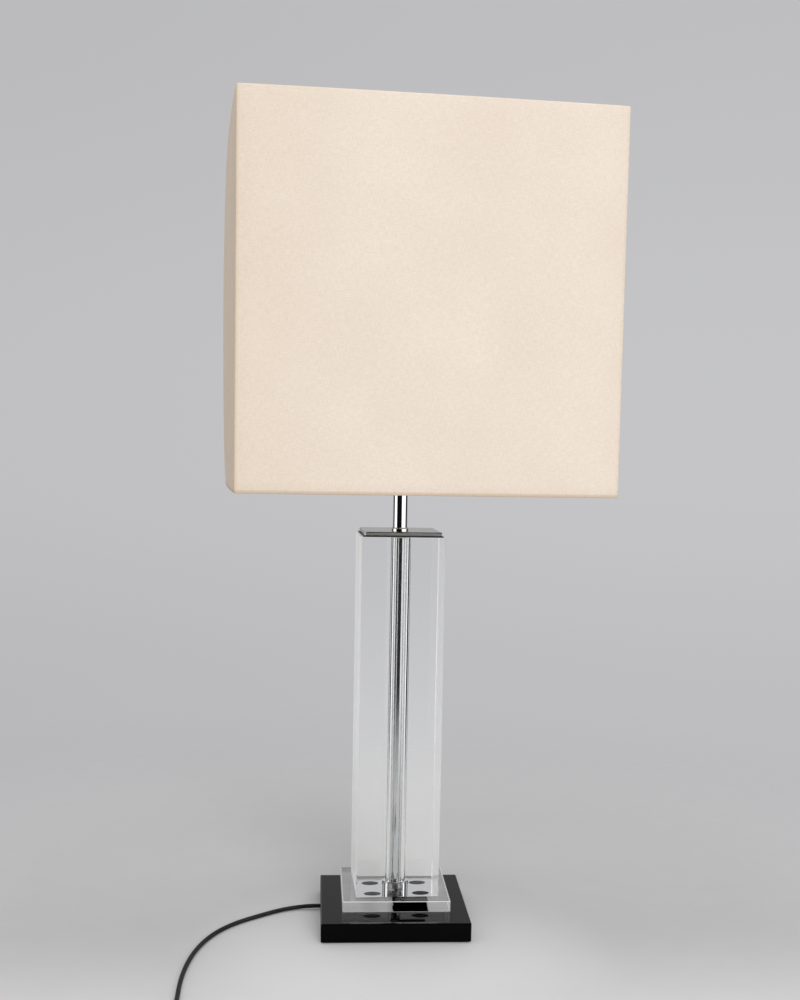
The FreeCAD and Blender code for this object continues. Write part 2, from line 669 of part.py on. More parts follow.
def make_shade():
    side = "shade_side / 2"
    inner = "(shade_side / 2 - panel_thick)"
    panels = []
    for quarter, name in enumerate(["shade_front", "shade_right", "shade_back", "shade_left"]):
        panel = new_body(name)
        sketch = new_sketch(panel)
        outer_edge = [("-" + side, "-" + side), (side, "-" + side)]
        draw_polygon(sketch, outer_edge + [(inner, "-" + inner), ("-" + inner, "-" + inner)])
        pad(panel, sketch, "shade_tall")
        panels.append(on_axis(panel, SHADE_LOW, "shade_yaw + %d" % (90 * quarter)))

    axis = Vector(size("column_x"), size("column_y"), 0)
    turn = Rotation(Vector(0, 0, 1), size("shade_yaw"))
    wire = size("wire_diameter")
    loop_side = size("shade_side") - 2 * size("panel_thick") - wire - 2 * size("wire_in_panel")
    loop = swept_loop(loop_side, size("wire_corner"), wire)
    low = height_of(SHADE_LOW) + size("wire_inset") + wire / 2
    high = height_of(SHADE_LOW) + size("shade_tall") - size("wire_inset") - wire / 2
    rings = []
    for name, height in (("shade_wire_bottom", low), ("shade_wire_top", high)):
        rings.append(solid_feature(name, loop, Placement(axis + Vector(0, 0, height), turn)))

    corner = loop_side / 2 - size("wire_corner") * (1 - math.sqrt(0.5))
    posts = []
    for sign_x, sign_y in ((-1, -1), (1, -1), (1, 1), (-1, 1)):
        foot = Vector(sign_x * corner, sign_y * corner, low)
        posts.append(Part.makeCylinder(size("post_diameter") / 2, high - low, foot))
    posts = solid_feature("shade_posts", Part.Compound(posts), Placement(axis, turn))

    fitter = tube("shade_fitter", RING_BORE + " + 2 * fitter_wall", RING_BORE, "fitter_thick")
    on_axis(fitter, FITTER_FOOT)
    middle = height_of(FITTER_FOOT) + size("fitter_thick") / 2
    reach = height_of(RING_BORE) / 2 + size("fitter_wall") - size("arm_weld")
    arms = []
    for quarter in range(4):
        spin = Rotation(Vector(0, 0, 1), 90 * quarter)
        start = spin.multVec(Vector(0, -reach, 0)) + Vector(0, 0, middle)
        end = spin.multVec(Vector(0, -loop_side / 2, 0)) + Vector(0, 0, low)
        arms.append(Part.makeCylinder(size("arm_diameter") / 2, (end - start).Length, start, end - start))
    arms = solid_feature("shade_arms", Part.Compound(arms), Placement(axis, turn))
    return panels + rings + [posts, fitter, arms]


# ---------------------------------------------------------------- cord
def round_route(points, shown):
    """Straight runs joined by tangent arcs through a route's corners, as one wire."""
    edges = []
    start = points[0]
    radii = []
    for before, corner, after in zip(points[:-2], points[1:-1], points[2:]):
        arriving = (corner - before).normalize()
        leaving = (after - corner).normalize()
        half_turn = arriving.getAngle(leaving) / 2
        shorter = min((corner - before).Length, (after - corner).Length)
        setback = 0.45 * shorter
        radii.append(setback / math.tan(half_turn))
        first = corner - arriving * setback
        last = corner + leaving * setback
        chord_middle = (first + last) * 0.5
        reach = (corner - chord_middle).Length
        sagitta = (last - first).Length / 2 * math.tan(half_turn / 2)
        middle = chord_middle + (corner - chord_middle) * (sagitta / reach)
        edges.append(Part.LineSegment(start, first).toShape())
        edges.append(Part.Arc(first, middle, last).toShape())
        start = last
    edges.append(Part.LineSegment(start, points[-1]).toShape())
    print(shown, "radii", [round(radius, 1) for radius in radii])
    return Part.Wire(edges)


def sweep_round(name, wire, diameter):
    """A round solid along a wire, with its volume compared to section times length."""
    first = wire.Edges[0]
    start = first.valueAt(first.FirstParameter)
    along = first.tangentAt(first.FirstParameter)
    section = Part.Wire([Part.Circle(start, along, diameter / 2).toShape()])
    solid = wire.makePipeShell([section], True, False)
    ideal = math.pi * diameter ** 2 / 4 * wire.Length
    print(name, "length %.1f, volume over section times length %.5f" % (wire.Length, solid.Volume / ideal))
    return solid


def biarc(start, start_way, end, end_way):
    """Two arcs that join two points with the given directions."""
    gap = end - start
    both = start_way + end_way
    square = 2 * (1 - start_way.dot(end_way))
    reach = (-gap.dot(both) + math.sqrt(gap.dot(both) ** 2 + square * gap.dot(gap))) / square
    first_corner = start + start_way * reach
    second_corner = end - end_way * reach
    joint = (first_corner + second_corner) * 0.5
    arcs = []
    for low, corner, high in ((start, first_corner, joint), (joint, second_corner, end)):
        middle = (low + high) * 0.5
        height = (corner - middle).Length
        chord = (high - low).Length / 2
        sagitta = chord * math.tan(math.atan2(height, chord) / 2)
        arcs.append(Part.Arc(low, middle + (corner - middle) * (sagitta / height), high).toShape())
    return arcs


def coil_point(turns):
    """A point of the coil after some turns: it spirals in and out again, and climbs as it reverses."""
    layers = size("coil_layers")
    pitch = size("cord_diameter") + size("coil_gap")
    climb = size("coil_climb")
    leg = (size("coil_turns") - climb * (layers - 1)) / layers
    outer = size("coil_middle") + pitch * leg / 2
    layer = min(int(turns / (leg + climb)), int(layers) - 1)
    within = turns - layer * (leg + climb)
    inwards = layer % 2 == 0
    if within <= leg:
        travel = within
        rise = 0.0
        bulge = 0.0
    else:
        travel = leg
        share = (within - leg) / climb
        rise = share * share * (3 - 2 * share)
        bulge = pitch * climb * share * (1 - share)
    reach = travel * pitch + bulge
    radius = outer - reach if inwards else outer - leg * pitch + reach
    angle = math.pi + 2 * math.pi * turns
    centre_x = COIL_START[0] + outer
    height = size("cord_diameter") / 2 + size("floor_gap") + (layer + rise) * pitch
    return Vector(centre_x + radius * math.cos(angle), COIL_START[1] + radius * math.sin(angle), height)


def coil_way(turns):
    """The coil's direction after some turns."""
    small = 1e-4
    low = max(0.0, turns - small)
    high = min(size("coil_turns"), turns + small)
    return (coil_point(high) - coil_point(low)).normalize()


def coil_wire():
    """The coil as biarcs of a quarter turn, with a straight end of one diameter at each end."""
    steps = int(round(size("coil_turns") * 4))
    stops = [size("coil_turns") * step / steps for step in range(steps + 1)]
    points = [coil_point(stop) for stop in stops]
    ways = [coil_way(stop) for stop in stops]
    straight = size("cord_diameter")
    edges = [Part.LineSegment(points[0] - ways[0] * straight, points[0]).toShape()]
    for step in range(steps):
        edges += biarc(points[step], ways[step], points[step + 1], ways[step + 1])
    edges.append(Part.LineSegment(points[-1], points[-1] + ways[-1] * straight).toShape())
    return Part.Wire(edges)


def print_least_gap(wire, diameter):
    """Print how near the coil's surface comes to itself, measured on points of its middle line."""
    step = 1.5
    points = wire.discretize(Distance=step)
    apart = int(math.pi * size("coil_middle") / step)
    least = 1e9
    for number, point in enumerate(points):
        for other in points[number + apart:]:
            least = min(least, point.distanceToPoint(other))
    print("coil length %.1f, least gap %.2f" % (wire.Length, least - diameter))


def make_cord():
    diameter = size("cord_diameter")
    exit_x = -size("base_side") / 2
    exit_point = Vector(exit_x, size("cord_exit_y"), height_of(CORD_HEIGHT))

    coil = coil_wire()
    print_least_gap(coil, diameter)
    coil_solid = solid_feature("cord_coil", sweep_round("cord_coil", coil, diameter))
    coil_in = coil.Edges[0].valueAt(coil.Edges[0].FirstParameter)
    coil_out = coil.Edges[-1].valueAt(coil.Edges[-1].LastParameter)

    route = [exit_point] + [Vector(*point) for point in CORD_ROUTE] + [coil_in]
    run = solid_feature("cord_run", sweep_round("cord_run", round_route(route, "cord_run"), diameter))

    plug_height = size("plug_thick") / 2 + size("plug_lift")
    tail = [coil_out]
    tail += [Vector(x, coil_out.y + past, coil_out.z - drop) for x, past, drop in TAIL_ROUTE]
    tail += [Vector(x, coil_out.y + past, plug_height) for x, past in PLUG_ROUTE]
    tail_wire = round_route(tail, "cord_tail")
    tail_solid = solid_feature("cord_tail", sweep_round("cord_tail", tail_wire, diameter))

    # The cord inside the base: along its channel, into the recess and up the stem tube.
    axis = Vector(size("column_x"), size("column_y"), exit_point.z)
    stem_top = height_of(NECK_TOP) + size("dome_floor") + size("stem_in_dome")
    inner = [
        exit_point,
        Vector(-48, exit_point.y, exit_point.z),
        Vector(-25, exit_point.y - 0.6, exit_point.z),
        axis + Vector(-9, 3.4, -0.5),
        axis + Vector(0, 0, -0.6),
        Vector(axis.x, axis.y, stem_top),
    ]
    inner_wire = round_route(inner, "cord_inner")
    inner_solid = solid_feature("cord_inner", sweep_round("cord_inner", inner_wire, diameter))

    long = size("relief_long")
    thin_end = diameter / 2 + size("relief_outer")
    thick_end = diameter / 2 + size("relief_inner")
    relief = Part.makeCone(thin_end, thick_end, long, exit_point, Vector(1, 0, 0))
    bore = Part.makeCylinder(diameter / 2 + size("relief_gap"), long, exit_point, Vector(1, 0, 0))
    relief = solid_feature("cord_relief", relief.cut(bore))
    return [run, coil_solid, tail_solid, inner_solid, relief], tail[-1], tail[-1] - tail[-2]


def make_clamp():
    """A flat strip under the cord, held by two countersunk screws from below."""
    place = Vector(size("clamp_x"), size("cord_exit_y"), size("felt_thick") + size("clamp_lift"))
    thick = size("clamp_thick")
    wide = size("clamp_wide")
    long = size("clamp_long")
    strip = Part.makeBox(wide, long, thick, Vector(-wide / 2, -long / 2, 0))
    radius = size("clamp_screw") / 2
    screws = []
    for sign in (-1, 1):
        spot = Vector(0, sign * size("clamp_spacing") / 2, 0)
        head = Part.makeCone(radius + thick, radius, thick, spot)
        shank = Part.makeCylinder(radius, size("clamp_screw_long") - thick, spot + Vector(0, 0, thick))
        strip = strip.cut(head)
        screws.append(head.fuse(shank))
    clamp = solid_feature("cord_clamp", strip, Placement(place, Rotation()))
    return [clamp, solid_feature("clamp_screws", Part.Compound(screws), Placement(place, Rotation()))]


def make_plug(end, way):
    """The flat plug at the tail's end, lying on its broad side: relief, body and two pins."""
    flat_way = Vector(way.x, way.y, 0).normalize()
    turn = Rotation(Vector(1, 0, 0), flat_way)
    place = Placement(end, turn)
    relief_long = size("plug_relief_long")
    along = Vector(1, 0, 0)
    thin_end = size("cord_diameter") / 2 + size("plug_relief_lip")
    cone = Part.makeCone(thin_end, size("plug_relief_wide") / 2, relief_long, Vector(0, 0, 0), along)
    relief = solid_feature("plug_relief", cone, place)
    wide = size("plug_wide") / 2
    nose = size("plug_nose") / 2
    long = size("plug_long")
    half_outline = [(0, nose), (long * 0.3, nose), (long * 0.62, wide), (long, wide)]
    corners = [(x, -y) for x, y in half_outline] + half_outline[::-1]
    under = -size("plug_thick") / 2
    outline = Part.makePolygon([Vector(relief_long + x, y, under) for x, y in corners + corners[:1]])
    block = Part.Face(outline).extrude(Vector(0, 0, size("plug_thick")))
    block = block.makeFillet(size("plug_round"), block.Edges)
    body = solid_feature("plug_body", block, place)
    pins = []
    radius = size("pin_diameter") / 2
    straight = size("pin_long") - size("pin_taper")
    for sign in (-1, 1):
        foot = Vector(relief_long + long, sign * size("pin_spacing") / 2, 0)
        shank = Part.makeCylinder(radius, straight, foot, along)
        taper_foot = foot + along * straight
        taper = Part.makeCone(radius, size("pin_tip") / 2, size("pin_taper"), taper_foot, along)
        pins.append(shank.fuse(taper))
    return [relief, body, solid_feature("plug_pins", Part.Compound(pins), place)]


# ---------------------------------------------------------------- the lamp
def check_and_write(pieces):
    """Refuse a failed object or a bad shape, then write each piece to its own file."""
    doc.recompute()
    for thing in doc.Objects:
        if "Invalid" in thing.State or "Error" in thing.State:
            raise RuntimeError("%s: %s" % (thing.Name, thing.State))
    os.makedirs("parts", exist_ok=True)
    for piece in pieces:
        shape = piece.Shape
        if shape.isNull() or not shape.isValid() or shape.Volume <= 0:
            raise RuntimeError(piece.Label + ": no valid shape")
        shape.exportStep("parts/%s.step" % piece.Label)
    print(len(pieces), "pieces written")


def main():
    write_sizes()
    pieces = make_base() + make_foot_and_column() + make_stem() + make_cap_and_neck()
    pieces += make_lampholder() + make_holder_wires()
    pieces += make_bulb(height_of(BULB_MIDDLE))
    pieces += make_shade()
    cord, end, way = make_cord()
    pieces += cord + make_clamp() + make_plug(end, way)
    check_and_write(pieces)


main()
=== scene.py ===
"""Looks of the column table lamp: materials, fabric shade, threaded lampholder, cord, plug and studio.

Metres, +Z up, in the lamp's own frame: it stands on height 0, -Y is the front, the cord leaves on -X.
"""

import math

import bmesh
import bpy
from mathutils import Matrix, Vector


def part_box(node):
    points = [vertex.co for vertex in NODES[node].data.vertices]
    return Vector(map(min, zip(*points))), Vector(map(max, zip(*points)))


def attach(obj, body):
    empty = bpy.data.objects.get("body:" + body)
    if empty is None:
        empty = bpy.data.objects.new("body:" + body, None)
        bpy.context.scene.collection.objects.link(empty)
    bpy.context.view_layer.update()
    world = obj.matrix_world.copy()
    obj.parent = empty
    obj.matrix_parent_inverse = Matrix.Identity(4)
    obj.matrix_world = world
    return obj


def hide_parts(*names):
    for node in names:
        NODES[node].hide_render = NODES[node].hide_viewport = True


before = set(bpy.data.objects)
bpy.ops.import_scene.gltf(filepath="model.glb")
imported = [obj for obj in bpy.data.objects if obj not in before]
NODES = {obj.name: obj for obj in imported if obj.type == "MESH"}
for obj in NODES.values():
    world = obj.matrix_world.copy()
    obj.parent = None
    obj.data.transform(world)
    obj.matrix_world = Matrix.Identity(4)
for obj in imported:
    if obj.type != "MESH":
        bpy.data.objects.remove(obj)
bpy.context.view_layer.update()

# ---------------------------------------------------------------- sizes of the looks, in metres
QUARTER = math.pi / 2

# the axis of the column, the tubes, the bulb and the shade
AXIS = Vector((0.002, 0.013, 0.0))

# shade cover, its hems and its square wires
SHADE_YAW = math.radians(5)
SHADE_SIDE = 0.350
SHADE_CORNER = 0.0016
SHADE_BOW = 0.0022
SHADE_PILLOW = 0.0042
BELLY_SHAPE = 0.8
PILLOW_SHAPE = 0.6
HEM_ROUND = 0.0011
HEM_WIDE = 0.0062
HEM_INSIDE = 0.009
CLOTH_THICK = 0.0009
WIRE_IN_FROM_FACE = 0.0031
WIRE_CORNER = 0.009

# clear pieces, the sleeve in the column, and the air and the bite between the clear pieces
COLUMN_SIDE = 0.085
COLUMN_YAW = math.radians(2)
COLUMN_BORE = 0.021
FOOT_BORE = 0.027
CLEAR_EDGE = 0.0005
SLEEVE_WALL = 0.001
AIR_GAP = 0.00006
DISC_BITE = 0.0001
WELD_WITHIN = 1e-6
LEVEL_WITHIN = 2e-5
BORE_CLEAR = 0.022
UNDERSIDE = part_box("foot_plate")[0].z + 0.0002

# thread of the bulb's cap and of the liner that takes it
SCREW_PITCH = 0.0036

# cord: its thickness and length, its stored coil, and its route from the base to the coil and on to the plug
CORD_THICK = 0.0042
COIL_TURNS = 9.25
COIL_LAYERS = 4
COIL_CLIMB = 0.5
COIL_MIDDLE = 0.023
COIL_PITCH = 0.00475
COIL_START = (-0.2024, -0.300)
FLOOR_CLEAR = 0.00015
PLUG_ASIDE = 0.0090
CORD_ROUTE = [
    (-0.075, 0.021, 0.0042), (-0.086, 0.021, 0.0042), (-0.100, 0.0214, 0.0026), (-0.117, 0.0146, 0.0023),
    (-0.141, -0.0042, 0.00225), (-0.164, -0.0246, 0.0023), (-0.183, -0.053, 0.00225),
    (-0.1955, -0.090, 0.0023), (-0.2018, -0.130, 0.00225), (-0.2036, -0.172, 0.0023),
    (-0.202, -0.214, 0.00225), (-0.2032, -0.250, 0.0023), (-0.2024, -0.281, 0.00225),
]
TAIL_ROUTE = [(-0.158, -0.0006, 0.0002), (-0.140, -0.0040, 0.0032), (-0.121, -0.0085, 0.0082)]
PLUG_ROUTE = [(-0.104, -0.0090), (-0.090, -0.0090)]


# ---------------------------------------------------------------- the photograph's viewpoint
FRAME_TALL = 1000
FRAME_MIDDLE = 400
FOCAL_PIXELS = 1303.21
HORIZON_ROW = 569.45
MIDDLE_COLUMN = 399.2
SENSOR = 36.0
CAMERA_PLACE = (-0.08633, -1.32747, 0.49087)
CAMERA_TURN = (-3.77, -5.35, -1.04)


# ---------------------------------------------------------------- shader expressions
def srgb(red, green, blue):
    """A colour as it is seen, 0 to 255, as linear light."""
    channels = []
    for value in (red, green, blue):
        share = value / 255
        channels.append(share / 12.92 if share <= 0.04045 else ((share + 0.055) / 1.055) ** 2.4)
    return (*channels, 1.0)


class Signal:
    """One output socket, so that shader maths reads as ordinary arithmetic."""

    def __init__(self, recipe, socket):
        self.recipe = recipe
        self.socket = socket

    def maths(self, operation, *values):
        return self.recipe.node("ShaderNodeMath", {"operation": operation}, values)

    def __add__(self, other):
        return self.maths("ADD", self, other)

    def __sub__(self, other):
        return self.maths("SUBTRACT", self, other)

    def __rsub__(self, other):
        return self.maths("SUBTRACT", other, self)

    def __mul__(self, other):
        return self.maths("MULTIPLY", self, other)

    def __lt__(self, other):
        return self.maths("LESS_THAN", self, other)

    def __gt__(self, other):
        return self.maths("GREATER_THAN", self, other)

    __radd__ = __add__
    __rmul__ = __mul__

    def sine(self):
        return self.maths("SINE", self)

    def root(self):
        return self.maths("SQRT", self)

    def size(self):
        return self.maths("ABSOLUTE", self)

    def between(self, low, high):
        """0 below low, 1 above high, and smooth between them."""
        return self.recipe.node("ShaderNodeMapRange", {"interpolation_type": "SMOOTHSTEP"},
                                (self, low, high, 0.0, 1.0))


class Recipe:
    """The node tree of one material or of the world."""

    def __init__(self, owner):
        owner.use_nodes = True
        self.owner = owner
        self.tree = owner.node_tree
        self.tree.nodes.clear()

    def node(self, kind, settings=None, sockets=(), output=0):
        """Add a node: its settings first, then its sockets' values or links, in order or by name."""
        made = self.tree.nodes.new(kind)
        for name, value in (settings or {}).items():
            if name == "stops":
                ramp = made.color_ramp
                while len(ramp.elements) < len(value):
                    ramp.elements.new(0.5)
                for element, (place, colour) in zip(ramp.elements, value):
                    element.position = place
                    element.color = colour
            else:
                setattr(made, name, value)
        named = sockets.items() if isinstance(sockets, dict) else enumerate(sockets)
        for key, value in named:
            if isinstance(value, Signal):
                self.tree.links.new(value.socket, made.inputs[key])
            elif value is not None:
                made.inputs[key].default_value = value
        return Signal(self, made.outputs[output])

    def place(self, kind="Object", stretch=None):
        """Coordinates on the piece, in metres, stretched by three numbers where it helps."""
        at = self.node("ShaderNodeTexCoord", output=kind)
        if stretch:
            at = self.node("ShaderNodeMapping", None, {"Vector": at, "Scale": stretch})
        return at

    def axes(self, at):
        """The three numbers of a vector."""
        split = self.node("ShaderNodeSeparateXYZ", None, (at,))
        return [Signal(self, socket) for socket in split.socket.node.outputs]

    def noise(self, at, scale, detail=3.0, rough=0.5):
        return self.node("ShaderNodeTexNoise", None,
                         {"Vector": at, "Scale": scale, "Detail": detail, "Roughness": rough})

    def mix(self, factor, low, high):
        """A colour between two colours."""
        return self.node("ShaderNodeMix", {"data_type": "RGBA"}, {0: factor, 6: low, 7: high}, 2)

    def bump(self, height, distance, strength=1.0):
        return self.node("ShaderNodeBump", None,
                         {"Strength": strength, "Distance": distance, "Height": height})

    def surface(self, **values):
        """A Principled shader; spaces in its sockets' names are written as underscores."""
        named = {name.replace("_", " "): value for name, value in values.items()}
        return self.node("ShaderNodeBsdfPrincipled", None, named)

    def blend(self, factor, low, high):
        """A shader between two shaders."""
        return self.node("ShaderNodeMixShader", None, (factor, low, high))

    def facing_up(self):
        """How far the surface faces up, -1 to 1."""
        return self.axes(self.node("ShaderNodeNewGeometry", output="Normal"))[2]

    def close(self, shader):
        """Link the shader to the output, and give back what the recipe was for."""
        world = isinstance(self.owner, bpy.types.World)
        ending = self.tree.nodes.new("ShaderNodeOutputWorld" if world else "ShaderNodeOutputMaterial")
        self.tree.links.new(shader.socket, ending.inputs["Surface"])
        return self.owner


def new_recipe(name):
    return Recipe(bpy.data.materials.new(name))


# ---------------------------------------------------------------- materials

def linen():
    """Cream shade cloth: fine warp and weft, slubs both ways, a tan cast along its folds and hem, and tan
    painted shade over its left side.
    """
    look = new_recipe("linen")
    thread_pitch = 0.00055
    warp = (1500, 170, 1)
    weft = (170, 1500, 1)
    across, along, _ = look.axes(look.place("UV"))
    threads = 2 * math.pi / thread_pitch
    weave = (across * threads).sine() * (along * threads).sine()
    slub_up = look.noise(look.place("UV", warp), 1.0, 3.0, 0.6)
    slub_over = look.noise(look.place("UV", weft), 1.0, 3.0, 0.6)
    mottle = look.noise(look.place("UV"), 330.0, 4.0, 0.75)
    cloud = look.noise(look.place("UV"), 11.0, 3.0)
    slubs = (slub_up - 0.5) * 2.3 + (slub_over - 0.5) * 2.3
    light = slubs + (mottle - 0.5) * 1.6 + (cloud - 0.5) * 1.3 + 0.5
    cloth = look.mix(light, srgb(236, 221, 205), srgb(246, 233, 219))
    yellow = look.noise(look.place("UV"), 90.0, 3.0, 0.6)
    cloth = look.mix(yellow.between(0.5, 0.75) * 0.10, cloth, srgb(232, 208, 170))
    sides = across * (1 / SHADE_SIDE)
    from_fold = sides.maths("PINGPONG", sides, 0.5)
    fold_line = 1 - from_fold.between(0.0012, 0.0062)
    fold_glow = 1 - from_fold.between(0.004, 0.05)
    hem_line = 1 - along.between(0.0002, 0.0030)
    hem_glow = 1 - along.between(0.001, 0.012)
    # a tan cast toward the front's left edge, and tan painted shade over the left side, which is turned from
    # the light
    left_tan_and_side_shade = (1 - across.between(0.0, 0.11)) * 0.10 + across.between(1.0, 1.3) * 0.20
    tan = look.mix(fold_glow * 0.03 + fold_line * 0.12 + left_tan_and_side_shade, cloth, srgb(206, 178, 134))
    colour = look.mix(hem_glow * 0.08 + hem_line * 0.40, tan, srgb(186, 154, 112))
    height = weave * 0.30 + slub_up * 0.9 + slub_over * 0.9
    shader = look.surface(Base_Color=colour, Roughness=0.9, Sheen_Weight=0.05, Sheen_Roughness=0.5,
                          Specular_IOR_Level=0.15, Normal=look.bump(height, 0.00013, 0.6))
    return look.close(shader)


def lining():
    """The shade's smooth white inner sheet, a little yellowed."""
    look = new_recipe("lining")
    cloud = look.noise(look.place("Object"), 9.0, 4.0)
    ripple = look.noise(look.place("Object", (1, 1, 0.3)), 60.0, 2.0)
    colour = look.mix(cloud, srgb(240, 234, 220), srgb(228, 219, 198))
    shader = look.surface(Base_Color=colour, Roughness=0.55, Normal=look.bump(ripple, 0.0003, 0.3))
    return look.close(shader)


def acrylic_body(look, pale, scuff=0.0):
    """Polished acrylic: clear face on, and mixed toward a white painted glow where one of its flat sides is
    seen along its length.
    """
    x, y, _ = look.axes(look.place("Object"))
    across = x - AXIS.x
    back = y - AXIS.y
    outer = (across * across + back * back).root() > BORE_CLEAR
    grazing = look.node("ShaderNodeLayerWeight", None, {"Blend": 0.5}, "Facing").between(0.82, 0.94)
    clear = look.surface(Base_Color=(0.99, 0.995, 0.995, 1), Roughness=scuff, Transmission_Weight=1.0,
                         IOR=1.49)
    # a milky shader with emission: painted glow on the sides seen edge-on; pale sets how much of it shows
    painted_glow = look.surface(Base_Color=(0.80, 0.80, 0.80, 1), Roughness=0.5, Emission_Color=(1, 1, 1, 1),
                        Emission_Strength=0.45)
    return look.blend(grazing * outer * pale, clear, painted_glow)


def clear_acrylic():
    """The column: hairline scratches run up it."""
    look = new_recipe("clear_acrylic")
    hairs = look.noise(look.place("Object", (900, 900, 30)), 1.0, 2.0)
    # 0.55 is the share of painted glow on the column's sides seen edge-on
    return look.close(acrylic_body(look, 0.55, hairs.between(0.66, 0.78) * 0.02))


def foot_acrylic():
    """The foot plate: chamfers with a painted white glow, and a silvered underside with a faint painted glow
    that is black where it clings to the base.
    """
    look = new_recipe("foot_acrylic")
    level = look.facing_up().size()
    x, y, height = look.axes(look.place("Object"))
    wave = (look.noise(look.place("Object"), 70.0, 2.0) - 0.5) * 0.006
    wet_x = (x + wave).between(-0.0015, -0.0008) * (1 - (x + wave * 0.5).between(0.034, 0.0355))
    wet = wet_x * (1 - (y + wave).between(0.012, 0.022))
    cloudy = look.noise(look.place("Object"), 45.0, 3.0)
    silver = look.mix(cloudy, srgb(172, 172, 171), srgb(214, 214, 212))
    # the silvered underside glows faintly by emission, a painted glow; the wet patch has none
    backing_with_painted_glow = look.surface(Base_Color=look.mix(wet, silver, (0.002, 0.002, 0.002, 1)), Metallic=1 - wet,
                           Roughness=0.32 + wet * 0.3, Specular_IOR_Level=0.0, Emission_Strength=1.0,
                           Emission_Color=look.mix(wet, (0.15, 0.15, 0.15, 1), (0, 0, 0, 1)))
    under = level.between(0.8, 0.9) * (height < UNDERSIDE)
    # the chamfers get a white shader with emission: painted glow
    chamfer = level.between(0.55, 0.65) * (1 - level.between(0.75, 0.85))
    frosted_painted_glow = look.surface(Base_Color=(0.85, 0.85, 0.85, 1), Roughness=0.4, Emission_Color=(1, 1, 1, 1),
                          Emission_Strength=0.35)
    # 0.30 is the share of painted glow on the plate's sides seen edge-on
    block = look.blend(chamfer * 0.75, acrylic_body(look, 0.30), frosted_painted_glow)
    return look.close(look.blend(under, block, backing_with_painted_glow))


def bond_discs():
    """Clear bonding discs: the one over the wetted patch looks dark, the others grey."""
    look = new_recipe("bond_discs")
    x, y, _ = look.axes(look.place("Object"))
    dark = (x > AXIS.x) * (y < AXIS.y)
    bubbles = look.noise(look.place("Object"), 900.0, 2.0)
    grey = look.mix(bubbles, srgb(108, 108, 108), srgb(146, 146, 145))
    colour = look.mix(dark, grey, srgb(46, 46, 46))
    return look.close(look.surface(Base_Color=colour, Roughness=0.5, Specular_IOR_Level=0.2))


def chrome():
    """Bright plating with faint pitting and a long drawn grain."""
    look = new_recipe("chrome")
    grain = look.noise(look.place("Object", (420, 420, 9)), 1.0, 2.0)
    pits = look.noise(look.place("Object"), 900.0, 2.0).between(0.70, 0.76)
    tint = look.mix(pits, srgb(206, 207, 208), srgb(150, 148, 142))
    rough = 0.035 + grain * 0.05 + pits * 0.25
    return look.close(look.surface(Base_Color=tint, Metallic=1.0, Roughness=rough))


def cap_chrome():
    """The cap plate: polished on top, with sheared edges that are only satin."""
    look = new_recipe("cap_chrome")
    side = 1 - look.facing_up().size().between(0.2, 0.7)
    grain = look.noise(look.place("Object", (90, 90, 1400)), 1.0, 2.0)
    tint = look.mix(grain, srgb(200, 201, 202), srgb(212, 212, 211))
    rough = 0.04 + grain * 0.04 + side * 0.34
    return look.close(look.surface(Base_Color=tint, Metallic=1.0, Roughness=rough))


def black_slab():
    """Black acrylic, its top polished and its sawn sides satin, with dust and fine wiping marks."""
    look = new_recipe("black_slab")
    dust = look.noise(look.place("Object"), 1500.0, 2.0).between(0.72, 0.8)
    wipes = look.noise(look.place("Object", (60, 700, 60)), 1.0, 3.0).between(0.5, 0.8)
    colour = look.mix(dust * 0.5, srgb(5, 5, 5), srgb(52, 52, 50))
    polished = look.surface(Base_Color=colour, Roughness=0.03 + wipes * 0.05 + dust * 0.2,
                            Specular_IOR_Level=0.4)
    sawn = look.surface(Base_Color=colour, Roughness=0.12 + wipes * 0.1, Specular_IOR_Level=0.12)
    return look.close(look.blend(look.facing_up().between(0.3, 0.8), sawn, polished))


def drawn_metal(name, low, high, rough, threads=0.0):
    """Turned or drawn metal, with ring marks round the vertical and a thread where it has one."""
    look = new_recipe(name)
    rings = look.noise(look.place("Object", (40, 40, 2600)), 1.0, 2.0)
    stain = look.noise(look.place("Object"), 120.0, 4.0)
    colour = look.mix(stain * 0.6 + rings * 0.4, low, high)
    values = {"Base_Color": colour, "Metallic": 1.0, "Roughness": rough + stain * 0.15}
    if threads:
        height = (look.axes(look.place("Object"))[2] * (2 * math.pi / threads)).sine()
        values["Normal"] = look.bump(height, threads * 0.3)
    else:
        values["Normal"] = look.bump(rings, 0.00004, 0.6)
    return look.close(look.surface(**values))


def moulded(name, low, high, rough, grain=0.00004, scale=1400.0):
    """Moulded plastic or rubber: a fine pebbled skin, with a cloudy change of colour."""
    look = new_recipe(name)
    cloud = look.noise(look.place("Object"), 40.0, 3.0)
    skin = look.noise(look.place("Object"), scale, 2.0)
    colour = look.mix(cloud, low, high)
    shader = look.surface(Base_Color=colour, Roughness=rough + cloud * 0.12 - 0.06,
                          Normal=look.bump(skin, grain, 0.7))
    return look.close(shader)


def felt():
    """Matted black felt."""
    look = new_recipe("felt")
    fibres = look.noise(look.place("Object"), 2400.0, 5.0, 0.8)
    patches = look.noise(look.place("Object"), 60.0, 2.0)
    colour = look.mix(fibres * 0.7 + patches * 0.3, srgb(14, 14, 14), srgb(52, 51, 49))
    shader = look.surface(Base_Color=colour, Roughness=1.0, Sheen_Weight=0.4,
                          Normal=look.bump(fibres, 0.0006, 0.9))
    return look.close(shader)


def bulb_glass():
    """Frosted glass with faint draw lines."""
    look = new_recipe("bulb_glass")
    lines = look.noise(look.place("Object", (8, 8, 160)), 1.0, 2.0)
    shader = look.surface(Base_Color=(0.98, 0.98, 0.975, 1), Roughness=0.3, Transmission_Weight=1.0, IOR=1.5,
                          Normal=look.bump(lines, 0.0002, 0.15))
    return look.close(shader)


